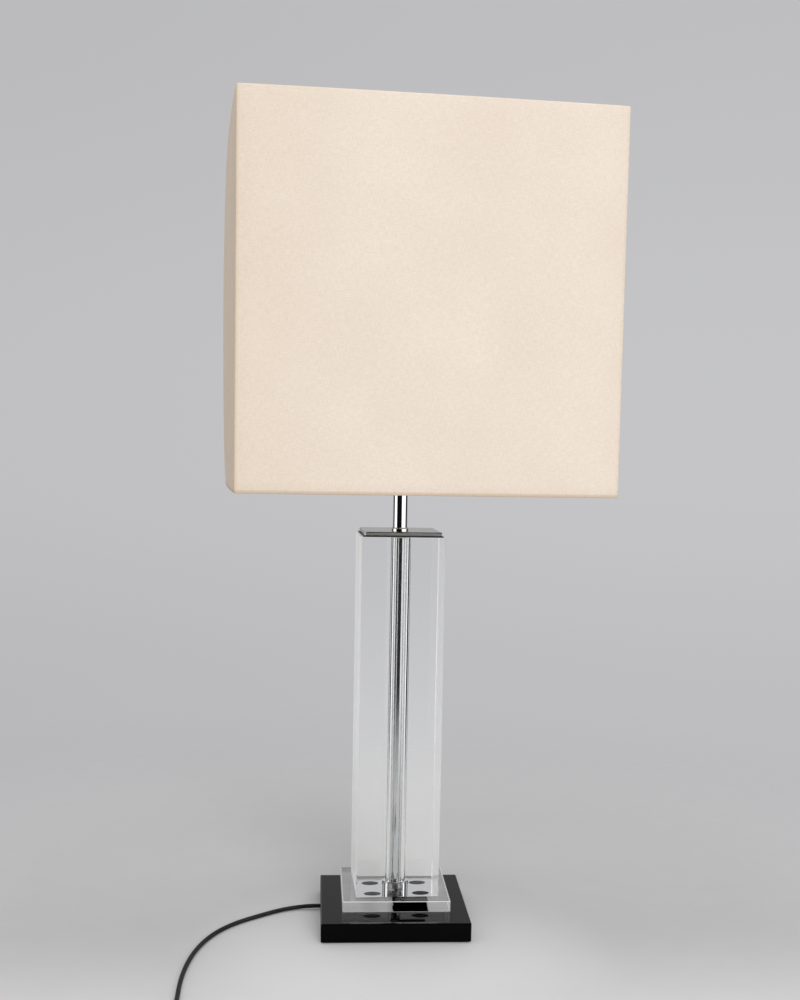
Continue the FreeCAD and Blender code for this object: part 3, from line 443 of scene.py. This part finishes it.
def ceramic():
    """White glaze with specks."""
    look = new_recipe("ceramic")
    specks = look.noise(look.place("Object"), 1100.0, 2.0).between(0.68, 0.74)
    colour = look.mix(specks, srgb(238, 234, 224), srgb(150, 138, 118))
    return look.close(look.surface(Base_Color=colour, Roughness=0.25 + specks * 0.3, Coat_Weight=0.5))


FINISHES = {
    "felt": felt(),
    "black_slab": black_slab(),
    "clear_acrylic": clear_acrylic(),
    "bond_pad": bond_discs(),
    "steel": drawn_metal("steel", srgb(150, 150, 148), srgb(205, 205, 200), 0.28),
    "chrome": chrome(),
    "black_rubber": moulded("black_rubber", srgb(12, 12, 12), srgb(26, 26, 26), 0.6),
    "holder_black": moulded("holder_black", srgb(14, 13, 12), srgb(30, 28, 27), 0.3, 0.00002),
    "ceramic": ceramic(),
    "brass": drawn_metal("brass", srgb(186, 142, 66), srgb(226, 190, 112), 0.22),
    "bar_plastic": moulded("bar_plastic", srgb(220, 214, 198), srgb(236, 231, 219), 0.32, 0.00001),
    "wire_sleeve": moulded("wire_sleeve", srgb(120, 74, 44), srgb(160, 104, 66), 0.55, 0.0001, 1800.0),
    "bulb_glass": bulb_glass(),
    "bulb_cap": drawn_metal("bulb_cap", srgb(176, 176, 174), srgb(222, 222, 220), 0.3),
    "shade_fabric": linen(),
    "shade_wire": moulded("shade_wire", srgb(226, 222, 210), srgb(242, 240, 232), 0.4, 0.00005, 900.0),
    "cord_black": moulded("cord_black", srgb(15, 15, 15), srgb(30, 30, 31), 0.42, 0.00003, 900.0),
    "plug_black": moulded("plug_black", srgb(13, 13, 13), srgb(28, 28, 28), 0.5, 0.00008, 1300.0),
}
CAP_CHROME = cap_chrome()
GASKET_GREY = moulded("gasket_grey", srgb(56, 56, 56), srgb(78, 78, 77), 0.45)
THREADED_STEEL = drawn_metal("threaded_steel", srgb(150, 150, 148), srgb(205, 205, 200), 0.3, 0.001)

SLOTS = {
    "felt": ["base_felt"],
    "black_slab": ["base_plate"],
    "steel": ["base_washer", "base_nut", "foot_washer", "foot_nut", "cord_clamp", "clamp_screws"],
    "chrome": ["neck_collar", "neck_tube", "plug_pins"],
    "black_rubber": ["cord_relief"],
    "holder_black": ["holder_dome"],
    "ceramic": ["holder_core"],
    "brass": ["holder_contact", "bulb_tip"],
    "bar_plastic": ["switch_bar"],
    "wire_sleeve": ["holder_wires"],
    "bulb_glass": ["bulb_glass", "bulb_stem"],
    "shade_wire": ["shade_posts", "shade_fitter", "shade_arms"],
    "cord_black": ["cord_inner"],
    "plug_black": ["plug_body"],
}


def paint(piece, *materials):
    """Replace a piece's materials."""
    piece.data.materials.clear()
    for material in materials:
        piece.data.materials.append(material)


def paint_nodes():
    """Give every node that is shown as it is in CAD its finish."""
    for slot, names in SLOTS.items():
        for name in names:
            paint(NODES[name], FINISHES[slot])
    paint(NODES["stem_tube"], THREADED_STEEL)
    paint(NODES["cap_gasket"], GASKET_GREY)
    paint(NODES["cap_plate"], CAP_CHROME)


# ---------------------------------------------------------------- making a piece
def add_piece(name, points, faces, body, slot, stands_for=(), smooth=40):
    """A mesh piece in the lamp's frame that rides on a body and takes a slot's finish."""
    mesh = bpy.data.meshes.new(name)
    mesh.from_pydata([tuple(point) for point in points], [], faces)
    turn_outward(mesh)
    mesh.shade_smooth()
    mesh.set_sharp_from_angle(angle=math.radians(smooth))
    piece = bpy.data.objects.new(name, mesh)
    bpy.context.scene.collection.objects.link(piece)
    return settle(piece, body, slot, stands_for)


def turn_outward(mesh):
    """Turn every face of a closed mesh outward; an open sheet keeps the way it was made."""
    shell = bmesh.new()
    shell.from_mesh(mesh)
    if all(len(edge.link_faces) == 2 for edge in shell.edges):
        bmesh.ops.recalc_face_normals(shell, faces=shell.faces)
        shell.to_mesh(mesh)
    shell.free()


def settle(piece, body, slot, stands_for=()):
    """Set a piece's finish, its body and the nodes that it stands for."""
    if not piece.data.materials:
        paint(piece, FINISHES[slot])
    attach(piece, body)
    if stands_for:
        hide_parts(*stands_for)
    return piece


def grid_faces(rows, columns, close_rows=False, close_columns=False):
    """Quads over a grid of points numbered row by row."""
    faces = []
    for row in range(rows if close_rows else rows - 1):
        for column in range(columns if close_columns else columns - 1):
            after = (row + 1) % rows
            beside = (column + 1) % columns
            faces.append((row * columns + column, row * columns + beside,
                          after * columns + beside, after * columns + column))
    return faces


def turned(name, middle, section, steps, body, slot, stands_for=(), wobble=None):
    """A piece turned round the vertical from a closed section of (radius, height).

    A wobble may move the radius at each height and angle.
    """
    points = []
    for step in range(steps):
        angle = 2 * math.pi * step / steps
        for radius, height in section:
            reach = radius + (wobble(radius, height, angle) if wobble else 0.0)
            points.append(middle + Vector((reach * math.cos(angle), reach * math.sin(angle), height)))
    faces = grid_faces(steps, len(section), True, True)
    return add_piece(name, points, faces, body, slot, stands_for)


# ---------------------------------------------------------------- clear pieces and bonding discs
def shifted_copy(name, node, slot, material, lifts):
    """A watertight copy of a node, with the faces at the given heights moved by a hair."""
    block = bmesh.new()
    block.from_mesh(NODES[node].data)
    bmesh.ops.remove_doubles(block, verts=block.verts, dist=WELD_WITHIN)
    for corner in block.verts:
        for height, shift in lifts.items():
            if abs(corner.co.z - height) < LEVEL_WITHIN:
                corner.co.z += shift
                break
    mesh = bpy.data.meshes.new(name)
    block.to_mesh(mesh)
    block.free()
    mesh.shade_smooth()
    mesh.set_sharp_from_angle(angle=math.radians(25))
    piece = bpy.data.objects.new(name, mesh)
    bpy.context.scene.collection.objects.link(piece)
    paint(piece, material)
    return settle(piece, "lamp", slot, [node])


def square_reach(half, cut, angle):
    """How far a square with cut corners reaches, at an angle from the middle of a side."""
    fold = abs((angle + math.pi / 4) % (math.pi / 2) - math.pi / 4)
    corner = half * math.sqrt(2) - cut / math.sqrt(2)
    return min(half / math.cos(fold), corner / math.cos(math.pi / 4 - fold))


def make_column_block():
    """The column with a finely divided bore, so that the chrome behind it is mirrored without facets."""
    low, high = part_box("column")
    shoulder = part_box("column_sleeve")[0].z + AIR_GAP
    top = high.z - AIR_GAP
    half = COLUMN_SIDE / 2
    narrow = COLUMN_BORE / 2
    wide = FOOT_BORE / 2
    fold = math.atan((half - CLEAR_EDGE) / half)
    folds = [-fold] + [math.radians(step) for step in range(-44, 45)] + [fold]
    points = []
    for quarter in range(4):
        for angle in folds:
            turn = quarter * QUARTER + angle + COLUMN_YAW
            ahead = Vector((math.cos(turn), math.sin(turn), 0))
            full = square_reach(half, CLEAR_EDGE, angle)
            eased = full * (half - CLEAR_EDGE) / half
            section = [(wide, low.z), (wide, shoulder), (narrow, shoulder), (narrow, top), (eased, top),
                       (full, top - CLEAR_EDGE), (full, low.z + CLEAR_EDGE), (eased, low.z)]
            points += [AXIS + ahead * reach + Vector((0, 0, height)) for reach, height in section]
    faces = grid_faces(4 * len(folds), len(section), True, True)
    add_piece("column_block", points, faces, "lamp", "clear_acrylic", ["column"], 25)


def make_column_sleeve():
    """The chrome sleeve, finely divided for the same reason."""
    low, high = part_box("column_sleeve")
    outer = (high.x - low.x) / 2
    inner = outer - SLEEVE_WALL
    section = [(inner, low.z), (outer, low.z), (outer, high.z), (inner, high.z)]
    turned("bright_column_sleeve", AXIS, section, 240, "lamp", "chrome", ["column_sleeve"])


def make_clear_pieces():
    """The two acrylic blocks, with air left at their dry faces, and the discs that wet both blocks."""
    foot_low, foot_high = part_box("foot_plate")
    disc_low, disc_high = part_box("column_pads")
    shifted_copy("foot_block", "foot_plate", "clear_acrylic", foot_acrylic(),
                 {foot_low.z: AIR_GAP, foot_high.z: -AIR_GAP})
    make_column_block()
    make_column_sleeve()
    shifted_copy("bond_discs", "column_pads", "bond_pad", FINISHES["bond_pad"],
                 {disc_low.z: -AIR_GAP - DISC_BITE, disc_high.z: DISC_BITE})


# ---------------------------------------------------------------- shade
def belly(share):
    """How far along its bow a side is: 0 at its corners and 1 in its middle."""
    return (4 * share * (1 - share)) ** BELLY_SHAPE


def round_square(half, corner, bow, side, share):
    """A point round a square: along a bowed side for a share up to 1, and round its corner beyond 1."""
    flat = half - corner
    if share > 1:
        turn = (share - 1) * QUARTER
        point = Vector((flat + corner * math.sin(turn), -flat - corner * math.cos(turn), 0))
    else:
        point = Vector((-flat + 2 * flat * share, -half - bow * belly(share), 0))
    return Matrix.Rotation(side * QUARTER, 3, "Z") @ point


def shade_station(offset, rise, side, share):
    """A point round the cover: how far outside the faces, how far up, which side and how far along it."""
    pillow = (4 * rise * (1 - rise)) ** PILLOW_SHAPE
    corner = max(0.0004, SHADE_CORNER + offset)
    return round_square(SHADE_SIDE / 2 + offset, corner, SHADE_BOW + SHADE_PILLOW * pillow, side, share)


def hem_profile():
    """One rolled edge of the cover, from its inner lip round under the wire: (offset, height) pairs."""
    steps = 5
    angles = [QUARTER * step / steps for step in range(steps + 1)]
    bends = [(math.sin(angle), math.cos(angle)) for angle in angles]
    lip = [(-HEM_WIDE + HEM_ROUND * (1 - level), HEM_ROUND * (1 - climb)) for climb, level in bends]
    edge = [(-HEM_ROUND * (1 - climb), HEM_ROUND * (1 - level)) for climb, level in bends]
    return [(-HEM_WIDE, HEM_INSIDE)] + lip + edge


def make_shade_cover():
    """One sheet of cloth round the four faces, rolled in over the top and bottom wires."""
    low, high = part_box("shade_front")
    tall = high.z - low.z
    hem = hem_profile()
    bands = 44
    wall = [(0.0, HEM_ROUND + (tall - 2 * HEM_ROUND) * step / bands) for step in range(1, bands)]
    profile = hem + wall + [(offset, tall - height) for offset, height in hem[::-1]]
    lengths = [0.0]
    for (offset, height), (after, above) in zip(profile[:-1], profile[1:]):
        lengths.append(lengths[-1] + math.hypot(after - offset, above - height))
    start = lengths[len(hem) - 1]

    shares = [step / 40 for step in range(41)] + [1 + step / 5 for step in range(1, 5)]
    turn = Matrix.Rotation(SHADE_YAW, 3, "Z")
    middle = Vector((AXIS.x, AXIS.y, low.z))
    points, flat = [], []
    for side in range(4):
        for share in shares:
            for (offset, height), length in zip(profile, lengths):
                point = turn @ shade_station(offset, height / tall, side, share)
                points.append(middle + point + Vector((0, 0, height)))
                flat.append((SHADE_SIDE * (side + min(share, 1.0)), length - start))
    columns = len(profile)
    rows = 4 * len(shares)
    faces = [face[::-1] for face in grid_faces(rows, columns, True)]
    cover = add_piece("shade_cover", points, faces, "shade", "shade_fabric",
                      ["shade_front", "shade_right", "shade_back", "shade_left"], 60)
    layer = cover.data.uv_layers.new(name="cloth")
    for face in cover.data.polygons:
        wraps = min(face.vertices) < columns and max(face.vertices) >= (rows - 1) * columns
        for corner in face.loop_indices:
            number = cover.data.loops[corner].vertex_index
            u, v = flat[number]
            if wraps and number < columns:
                u += 4 * SHADE_SIDE
            layer.data[corner].uv = (u, v)
    paint(cover, FINISHES["shade_fabric"], lining())
    thick = cover.modifiers.new("thickness", "SOLIDIFY")
    thick.thickness = CLOTH_THICK
    thick.offset = -1
    thick.material_offset = 1
    thick.material_offset_rim = 0
    thick.use_even_offset = True


def make_shade_wires():
    """The square wires at the shade's edges, bowed with the cloth."""
    turn = Matrix.Rotation(SHADE_YAW, 3, "Z")
    for name, node in (("bottom_square_wire", "shade_wire_bottom"), ("top_square_wire", "shade_wire_top")):
        low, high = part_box(node)
        radius = (high.z - low.z) / 2
        middle = Vector((AXIS.x, AXIS.y, (low.z + high.z) / 2))
        sides = 12
        stations = []
        for side in range(4):
            for share in [step / 24 for step in range(25)] + [1 + step / 6 for step in range(1, 6)]:
                stations.append(turn @ wire_station(side, share))
        points = []
        count = len(stations)
        for number, station in enumerate(stations):
            along = (stations[(number + 1) % count] - stations[number - 1]).normalized()
            outward = Vector((along.y, -along.x, 0))
            for step in range(sides):
                angle = 2 * math.pi * step / sides
                ring = outward * (radius * math.cos(angle)) + Vector((0, 0, radius * math.sin(angle)))
                points.append(middle + station + ring)
        add_piece(name, points, grid_faces(count, sides, True, True), "shade", "shade_wire", [node])


def wire_station(side, share):
    """A point of a square wire's middle line, with its rounded corners."""
    return round_square(SHADE_SIDE / 2 - WIRE_IN_FROM_FACE, WIRE_CORNER, SHADE_BOW, side, share)


# ---------------------------------------------------------------- lampholder and bulb
def threaded_wobble(pitch, depth, surface_radius, low, high, taper):
    """How a thread moves the radius of one wall of a turned piece."""
    def move(radius, height, angle):
        if abs(radius - surface_radius) > 1e-6:
            return 0.0
        inside = min(height - low, high - height) / taper
        phase = (height / pitch - angle / (2 * math.pi)) % 1.0
        crest = 0.5 - 0.5 * math.cos(2 * math.pi * phase)
        return -depth * crest * max(0.0, min(1.0, inside))
    return move


def threaded_tube(name, node, wall, pitch, depth, body, slot, inside=False):
    """A tube with a rolled thread on its outer or inner wall, as large as the node that it stands for."""
    low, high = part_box(node)
    outer = (high.x - low.x) / 2
    inner = outer - wall
    tall = high.z - low.z
    middle = Vector(((low.x + high.x) / 2, (low.y + high.y) / 2, low.z))
    rows = max(12, int(tall / pitch * 10))
    outward = [(outer, tall * step / rows) for step in range(rows + 1)]
    inward = [(inner, tall - tall * step / rows) for step in range(rows + 1)]
    surface = inner if inside else outer
    wobble = threaded_wobble(pitch, -depth if inside else depth, surface, 0, tall, pitch)
    return turned(name, middle, outward + inward, 72, body, slot, [node], wobble)


def grip_ring(name, node, body):
    """A moulded ring nut with a ribbed grip and eased edges."""
    low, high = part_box(node)
    outer = (high.x - low.x) / 2
    clearance = 0.0003
    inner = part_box("holder_shell")[1].x - AXIS.x + clearance
    tall = high.z - low.z
    middle = Vector((AXIS.x, AXIS.y, low.z))
    ease = 0.0008
    groove = 0.0007
    ribs = 36
    section = [(inner, ease), (inner + ease, 0), (outer - ease, 0), (outer, ease), (outer, tall - ease),
               (outer - ease, tall), (inner + ease, tall), (inner, tall - ease)]

    def grip(radius, height, angle):
        if radius < outer - 1e-6:
            return 0.0
        return -groove * (0.5 + 0.5 * math.cos(ribs * angle)) ** 3
    return turned(name, middle, section, 8 * ribs, body, "holder_black", [node], grip)


def make_lampholder():
    """The lampholder's threaded shell and brass liner, and the two ring nuts that hold the shade."""
    threaded_tube("holder_threaded_shell", "holder_shell", 0.0024, 0.0025, 0.0006, "lamp", "holder_black")
    threaded_tube("holder_screw_liner", "holder_liner", 0.0006, SCREW_PITCH, 0.0003, "lamp", "brass", True)
    grip_ring("lower_ring_nut", "ring_lower", "lower_ring")
    grip_ring("upper_ring_nut", "ring_upper", "upper_ring")


def tube_along(name, stations, radius, body, slot, stands_for=(), sides=8):
    """A thin closed wire along a list of points."""
    points = []
    count = len(stations)
    normal = Vector((0, 0, 1))
    for number, station in enumerate(stations):
        along = (stations[min(number + 1, count - 1)] - stations[max(number - 1, 0)]).normalized()
        first = along.cross(normal)
        if first.length < 0.1:
            first = along.cross(Vector((1, 0, 0)))
        first.normalize()
        second = along.cross(first)
        for step in range(sides):
            angle = 2 * math.pi * step / sides
            points.append(station + first * (radius * math.cos(angle)) + second * (radius * math.sin(angle)))
    faces = grid_faces(count, sides, False, True)
    faces.append(tuple(range(sides))[::-1])
    faces.append(tuple(range((count - 1) * sides, count * sides)))
    return add_piece(name, points, faces, body, slot, stands_for)


def make_screw_cap():
    """The bulb's screw cap, with a rolled thread."""
    low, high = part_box("bulb_cap")
    outer = (high.x - low.x) / 2
    tall = high.z - low.z
    middle = Vector((AXIS.x, AXIS.y, low.z))
    rows = 60
    steps = 64
    section = [(outer * 0.55, 0.0)]
    section += [(outer, tall * step / rows) for step in range(1, rows + 1)]
    section += [(outer * 0.9, tall)]
    thread = threaded_wobble(SCREW_PITCH, 0.0008, outer, 0.004, tall - 0.003, 0.003)
    points = []
    for step in range(steps):
        angle = 2 * math.pi * step / steps
        for radius, height in section:
            reach = radius + thread(radius, height, angle)
            points.append(middle + Vector((reach * math.cos(angle), reach * math.sin(angle), height)))
    columns = len(section)
    faces = grid_faces(steps, columns, True)
    faces.append(tuple(step * columns for step in range(steps))[::-1])
    faces.append(tuple(step * columns + columns - 1 for step in range(steps)))
    add_piece("bulb_screw_cap", points, faces, "bulb", "bulb_cap", ["bulb_cap"])


def make_filament():
    """The bulb's curled filament, sagging sideways between its two leads."""
    low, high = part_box("bulb_filament")
    foot = Vector((AXIS.x, AXIS.y, low.z))
    rise = high.z - low.z - 0.001
    half_wide = (high.x - low.x) / 2 - 0.001
    turns = 34
    per_turn = 10
    curl_radius = 0.00045
    wire_radius = 0.00014
    line = []
    for step in range(turns * per_turn + 1):
        share = step / (turns * per_turn)
        bow = math.sin(math.pi * share)
        curl = 2 * math.pi * turns * share
        line.append(foot + Vector((half_wide * (1 - 2 * share),
                                   0.004 * bow + curl_radius * math.cos(curl),
                                   rise - 0.0018 + 0.0014 * bow + curl_radius * math.sin(curl))))
    leads = [Vector((0.002, 0, 0)), Vector((half_wide * 0.6, 0, rise * 0.5)),
             Vector((-half_wide * 0.6, 0, rise * 0.5)), Vector((-0.002, 0, 0))]
    leads = [foot + point for point in leads]
    tube_along("bulb_curled_filament", leads[:2] + line + leads[2:], wire_radius, "bulb", "steel",
               ["bulb_filament"], 6)


# ---------------------------------------------------------------- cord and plug
def coil_points():
    """The stored coil: it spirals in and out again, and climbs a layer as it reverses."""
    leg = (COIL_TURNS - COIL_CLIMB * (COIL_LAYERS - 1)) / COIL_LAYERS
    outer = COIL_MIDDLE + COIL_PITCH * leg / 2
    per_turn = 20
    count = int(COIL_TURNS * per_turn)
    points = []
    for step in range(1, count):
        turns = COIL_TURNS * step / count
        layer = min(int(turns / (leg + COIL_CLIMB)), COIL_LAYERS - 1)
        within = turns - layer * (leg + COIL_CLIMB)
        travel = min(within, leg)
        share = max(0.0, within - leg) / COIL_CLIMB
        rise = share * share * (3 - 2 * share)
        reach = travel * COIL_PITCH + COIL_PITCH * COIL_CLIMB * share * (1 - share)
        radius = outer - reach if layer % 2 == 0 else outer - leg * COIL_PITCH + reach
        angle = math.pi + 2 * math.pi * turns
        points.append((
            COIL_START[0] + outer + radius * math.cos(angle),
            COIL_START[1] + radius * math.sin(angle),
            CORD_THICK / 2 + FLOOR_CLEAR + (layer + rise) * COIL_PITCH,
        ))
    return points


def make_cord():
    """The whole free cord on one smooth line, from the base to the plug."""
    plug_low, plug_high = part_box("plug_body")
    coil = coil_points()
    relief_low, relief_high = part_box("plug_relief")
    out_y = relief_low.y / 2 + relief_high.y / 2 + PLUG_ASIDE
    out_z = coil[-1][2]
    route = list(CORD_ROUTE) + coil
    route += [(x, out_y + past, out_z - drop) for x, past, drop in TAIL_ROUTE]
    route += [(x, out_y + past, (plug_low.z + plug_high.z) / 2) for x, past in PLUG_ROUTE]
    curve = bpy.data.curves.new("power_cord", "CURVE")
    curve.dimensions = "3D"
    line = curve.splines.new("NURBS")
    line.points.add(len(route) - 1)
    for point, place in zip(line.points, route):
        point.co = (*place, 1.0)
    line.order_u = 3
    line.use_endpoint_u = True
    curve.resolution_u = 6
    curve.bevel_depth = CORD_THICK / 2
    curve.bevel_resolution = 5
    curve.use_fill_caps = True
    cord = bpy.data.objects.new("power_cord", curve)
    bpy.context.scene.collection.objects.link(cord)
    cord.data.materials.append(FINISHES["cord_black"])
    settle(cord, "lamp", "cord_black", ["cord_run", "cord_coil", "cord_tail"])
    return cord


def make_plug_relief():
    """The plug's tapered relief, ringed with grooves."""
    low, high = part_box("plug_relief")
    middle = (low + high) / 2
    long = high.x - low.x
    sleeve = 0.0004
    deep = 0.0011
    thin = CORD_THICK / 2 + sleeve
    thick = (high.y - low.y) / 2
    rings = 61
    grooves = 6
    sides = 28
    points = []
    for ring in range(rings):
        share = ring / (rings - 1)
        groove = 0.5 - 0.5 * math.cos(2 * math.pi * grooves * share)
        depth = deep * max(0.0, groove * 1.6 - 0.6) * min(1.0, (1 - share) * 6) * (0.4 + 0.6 * share)
        for side in range(sides):
            angle = 2 * math.pi * side / sides
            open_side = abs(math.sin(angle)) ** 0.5
            radius = thin + (thick - thin) * share - depth * open_side
            points.append(Vector((low.x + long * share, middle.y + radius * math.cos(angle),
                                  middle.z + radius * math.sin(angle))))
    faces = grid_faces(rings, sides, False, True)
    faces.append(tuple(range(sides)))
    faces.append(tuple(range((rings - 1) * sides, rings * sides))[::-1])
    return add_piece("plug_grooved_relief", points, faces, "lamp", "plug_black", ["plug_relief"], 50)


def make_plug_grips():
    """Raised finger ribs on the upper side of the plug."""
    low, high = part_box("plug_body")
    middle = (low + high) / 2
    foot_half, top_half = 0.0009, 0.0009 * 0.45
    sunk, proud = -0.0003, 0.00035
    points, faces = [], []
    for rib in range(6):
        x = low.x + 0.012 + rib * 0.0028
        half = 0.0075 + rib * 0.0006
        first = len(points)
        for end in (-1, 1):
            for height, wide, reach in ((sunk, foot_half, half), (proud, top_half, half - 0.0004)):
                for side in (-1, 1):
                    points.append(Vector((x + side * wide, middle.y + end * reach, high.z + height)))
        for corners in ((0, 2, 3, 1), (4, 5, 7, 6), (0, 4, 6, 2), (1, 3, 7, 5), (2, 6, 7, 3), (0, 1, 5, 4)):
            faces.append(tuple(first + corner for corner in corners))
    return add_piece("plug_finger_ribs", points, faces, "lamp", "plug_black", (), 30)


# ---------------------------------------------------------------- studio
def floor_finish():
    """Pale paper that is dim to mirrors, lightened near the lamp and in front by painted light, and fades
    out to the backdrop.
    """
    look = new_recipe("studio_floor")
    at = look.place("Object")
    x, y, _ = look.axes(at)
    away = (x * x + (y + 0.1) * (y + 0.1)).root()
    paper = look.noise(at, 30.0, 3.0)
    rays = look.node("ShaderNodeLightPath").socket.node.outputs
    through_glass = Signal(look, rays["Is Transmission Ray"])
    mirrored = Signal(look, rays["Is Glossy Ray"]) * (1 - through_glass)
    # painted light: a pool of brighter paper in front of the lamp
    painted_front_light = 1 - y.between(-0.40, -0.02)
    colour = look.mix(paper, srgb(200, 200, 202), srgb(204, 204, 206))
    # painted light near the lamp, lifting the shade that falls around its base
    colour = look.mix(1 - away.between(0.08, 0.24), colour, srgb(232, 232, 234))
    colour = look.mix(painted_front_light, colour, look.mix(paper, srgb(236, 236, 238), srgb(240, 240, 242)))
    colour = look.mix(mirrored * 0.62, colour, (0.02, 0.02, 0.02, 1))
    colour = look.mix(through_glass * 0.5, colour, (0.95, 0.95, 0.95, 1))
    sheet = look.surface(Base_Color=colour, Roughness=0.9, Specular_IOR_Level=0.05)
    beyond = look.node("ShaderNodeBsdfTransparent")
    return look.close(look.blend(away.between(0.22, 1.3), sheet, beyond))


def make_floor():
    """A pale floor that keeps the lamp's shadow and gives way to the backdrop further out."""
    rim = 72
    radius = 1.6
    angles = [2 * math.pi * step / rim for step in range(rim)]
    points = [(radius * math.cos(angle), radius * math.sin(angle), 0) for angle in angles]
    mesh = bpy.data.meshes.new("studio_floor")
    mesh.from_pydata(points, [], [tuple(range(rim))])
    mesh.materials.append(floor_finish())
    floor = bpy.data.objects.new("studio_floor", mesh)
    bpy.context.scene.collection.objects.link(floor)


def make_world():
    """The backdrop that the eye sees, and the studio that bright metal and clear pieces show.

    The eye gets a pale backdrop. Metal mirrors a dark front, tall white sides and a grey wall behind. What
    is seen through glass has the pale backdrop behind, with dimmer white sides.
    """
    world = bpy.data.worlds.new("studio")
    bpy.context.scene.world = world
    look = Recipe(world)
    x, y, z = look.axes(look.node("ShaderNodeTexCoord", output="Generated"))

    across = x.between(-0.42, 0.30)
    low_tone = look.mix(across, srgb(184, 184, 186), srgb(190, 190, 192))
    level_tone = look.mix(across, srgb(191, 191, 193), srgb(197, 197, 199))
    high_tone = look.mix(across, srgb(185, 185, 187), srgb(190, 190, 192))
    backdrop = look.mix(z.between(-0.20, -0.01), low_tone, level_tone)
    backdrop = look.mix(z.between(0.04, 0.34), backdrop, high_tone)
    backdrop = look.mix(1 - z.between(-0.40, -0.22), backdrop, srgb(205, 204, 207))

    angle = x.maths("ARCTAN2", x, y * -1.0)
    left = angle.between(-1.78, -1.70) * (1 - angle.between(-0.98, -0.94))
    right = angle.between(0.38, 0.42) * (1 - angle.between(1.55, 1.62))
    sides = (left + right) * z.between(-0.42, -0.34) * (1 - z.between(0.80, 0.9))
    behind = y.between(0.50, 0.75)

    wall = look.mix(z.between(0.08, 0.28), (0.42, 0.42, 0.425, 1), (0.26, 0.26, 0.262, 1))
    mirrored = look.mix(behind, (0.006, 0.006, 0.006, 1), wall)
    mirrored = look.mix(sides, mirrored, (1.9, 1.9, 1.9, 1))

    lifted = look.mix(0.12, backdrop, srgb(215, 215, 217))
    through = look.mix(1 - z.between(-0.22, -0.02), lifted, srgb(208, 208, 210))
    through = look.mix(behind, (0.02, 0.02, 0.02, 1), through)
    through = look.mix(sides, through, (1.2, 1.2, 1.2, 1))

    rays = look.node("ShaderNodeLightPath").socket.node.outputs
    shown = look.mix(Signal(look, rays["Is Glossy Ray"]), backdrop, mirrored)
    shown = look.mix(Signal(look, rays["Is Transmission Ray"]), shown, through)
    shown = look.mix(Signal(look, rays["Is Diffuse Ray"]), shown, (0.57, 0.565, 0.56, 1))
    look.close(look.node("ShaderNodeBackground", None, {"Color": shown, "Strength": 1.0}))


def add_softbox(name, place, aim, wide, tall, power):
    """A soft rectangular light pointed at a spot, and left out of mirrors and glass."""
    light = bpy.data.lights.new(name, "AREA")
    light.shape = "RECTANGLE"
    light.size = wide
    light.size_y = tall
    light.energy = power
    holder = bpy.data.objects.new(name, light)
    holder.location = place
    holder.visible_glossy = False
    holder.visible_transmission = False
    holder.rotation_mode = "QUATERNION"
    holder.rotation_quaternion = (Vector(aim) - Vector(place)).to_track_quat("-Z", "Y")
    bpy.context.scene.collection.objects.link(holder)


def make_lights():
    """A large softbox at the front and a weaker one overhead."""
    add_softbox("key_softbox", (0.75, -3.2, 1.25), (0, 0, 0.6), 1.5, 1.2, 43)
    add_softbox("top_softbox", (0.0, 0.2, 2.4), (0, 0.0, 0.3), 1.6, 1.6, 14)


def make_camera():
    """The photograph's viewpoint, worked out from the lamp's own edges."""
    camera = bpy.data.cameras.new("camera")
    camera.sensor_width = SENSOR
    camera.lens = FOCAL_PIXELS / FRAME_TALL * SENSOR
    camera.shift_x = (FRAME_MIDDLE - MIDDLE_COLUMN) / FRAME_TALL
    camera.shift_y = (HORIZON_ROW - FRAME_TALL / 2) / FRAME_TALL
    camera.clip_start = 0.05
    holder = bpy.data.objects.new("camera", camera)
    yaw, pitch, roll = (math.radians(value) for value in CAMERA_TURN)
    turn = Matrix.Rotation(yaw, 3, "Z") @ Matrix.Rotation(pitch, 3, "X") @ Matrix.Rotation(roll, 3, "Y")
    right, ahead, up = (turn.col[number] for number in range(3))
    pose = Matrix((right, up, -ahead)).transposed().to_4x4()
    pose.translation = Vector(CAMERA_PLACE)
    holder.matrix_world = pose
    bpy.context.scene.collection.objects.link(holder)
    bpy.context.scene.camera = holder


# ---------------------------------------------------------------- the whole scene
bpy.context.scene.view_settings.view_transform = "Standard"
make_camera()
power_cord = make_cord()
paint_nodes()
make_clear_pieces()
make_shade_cover()
make_shade_wires()
make_lampholder()
make_screw_cap()
make_filament()
grooved_relief = make_plug_relief()
finger_ribs = make_plug_grips()
make_floor()
make_world()
make_lights()
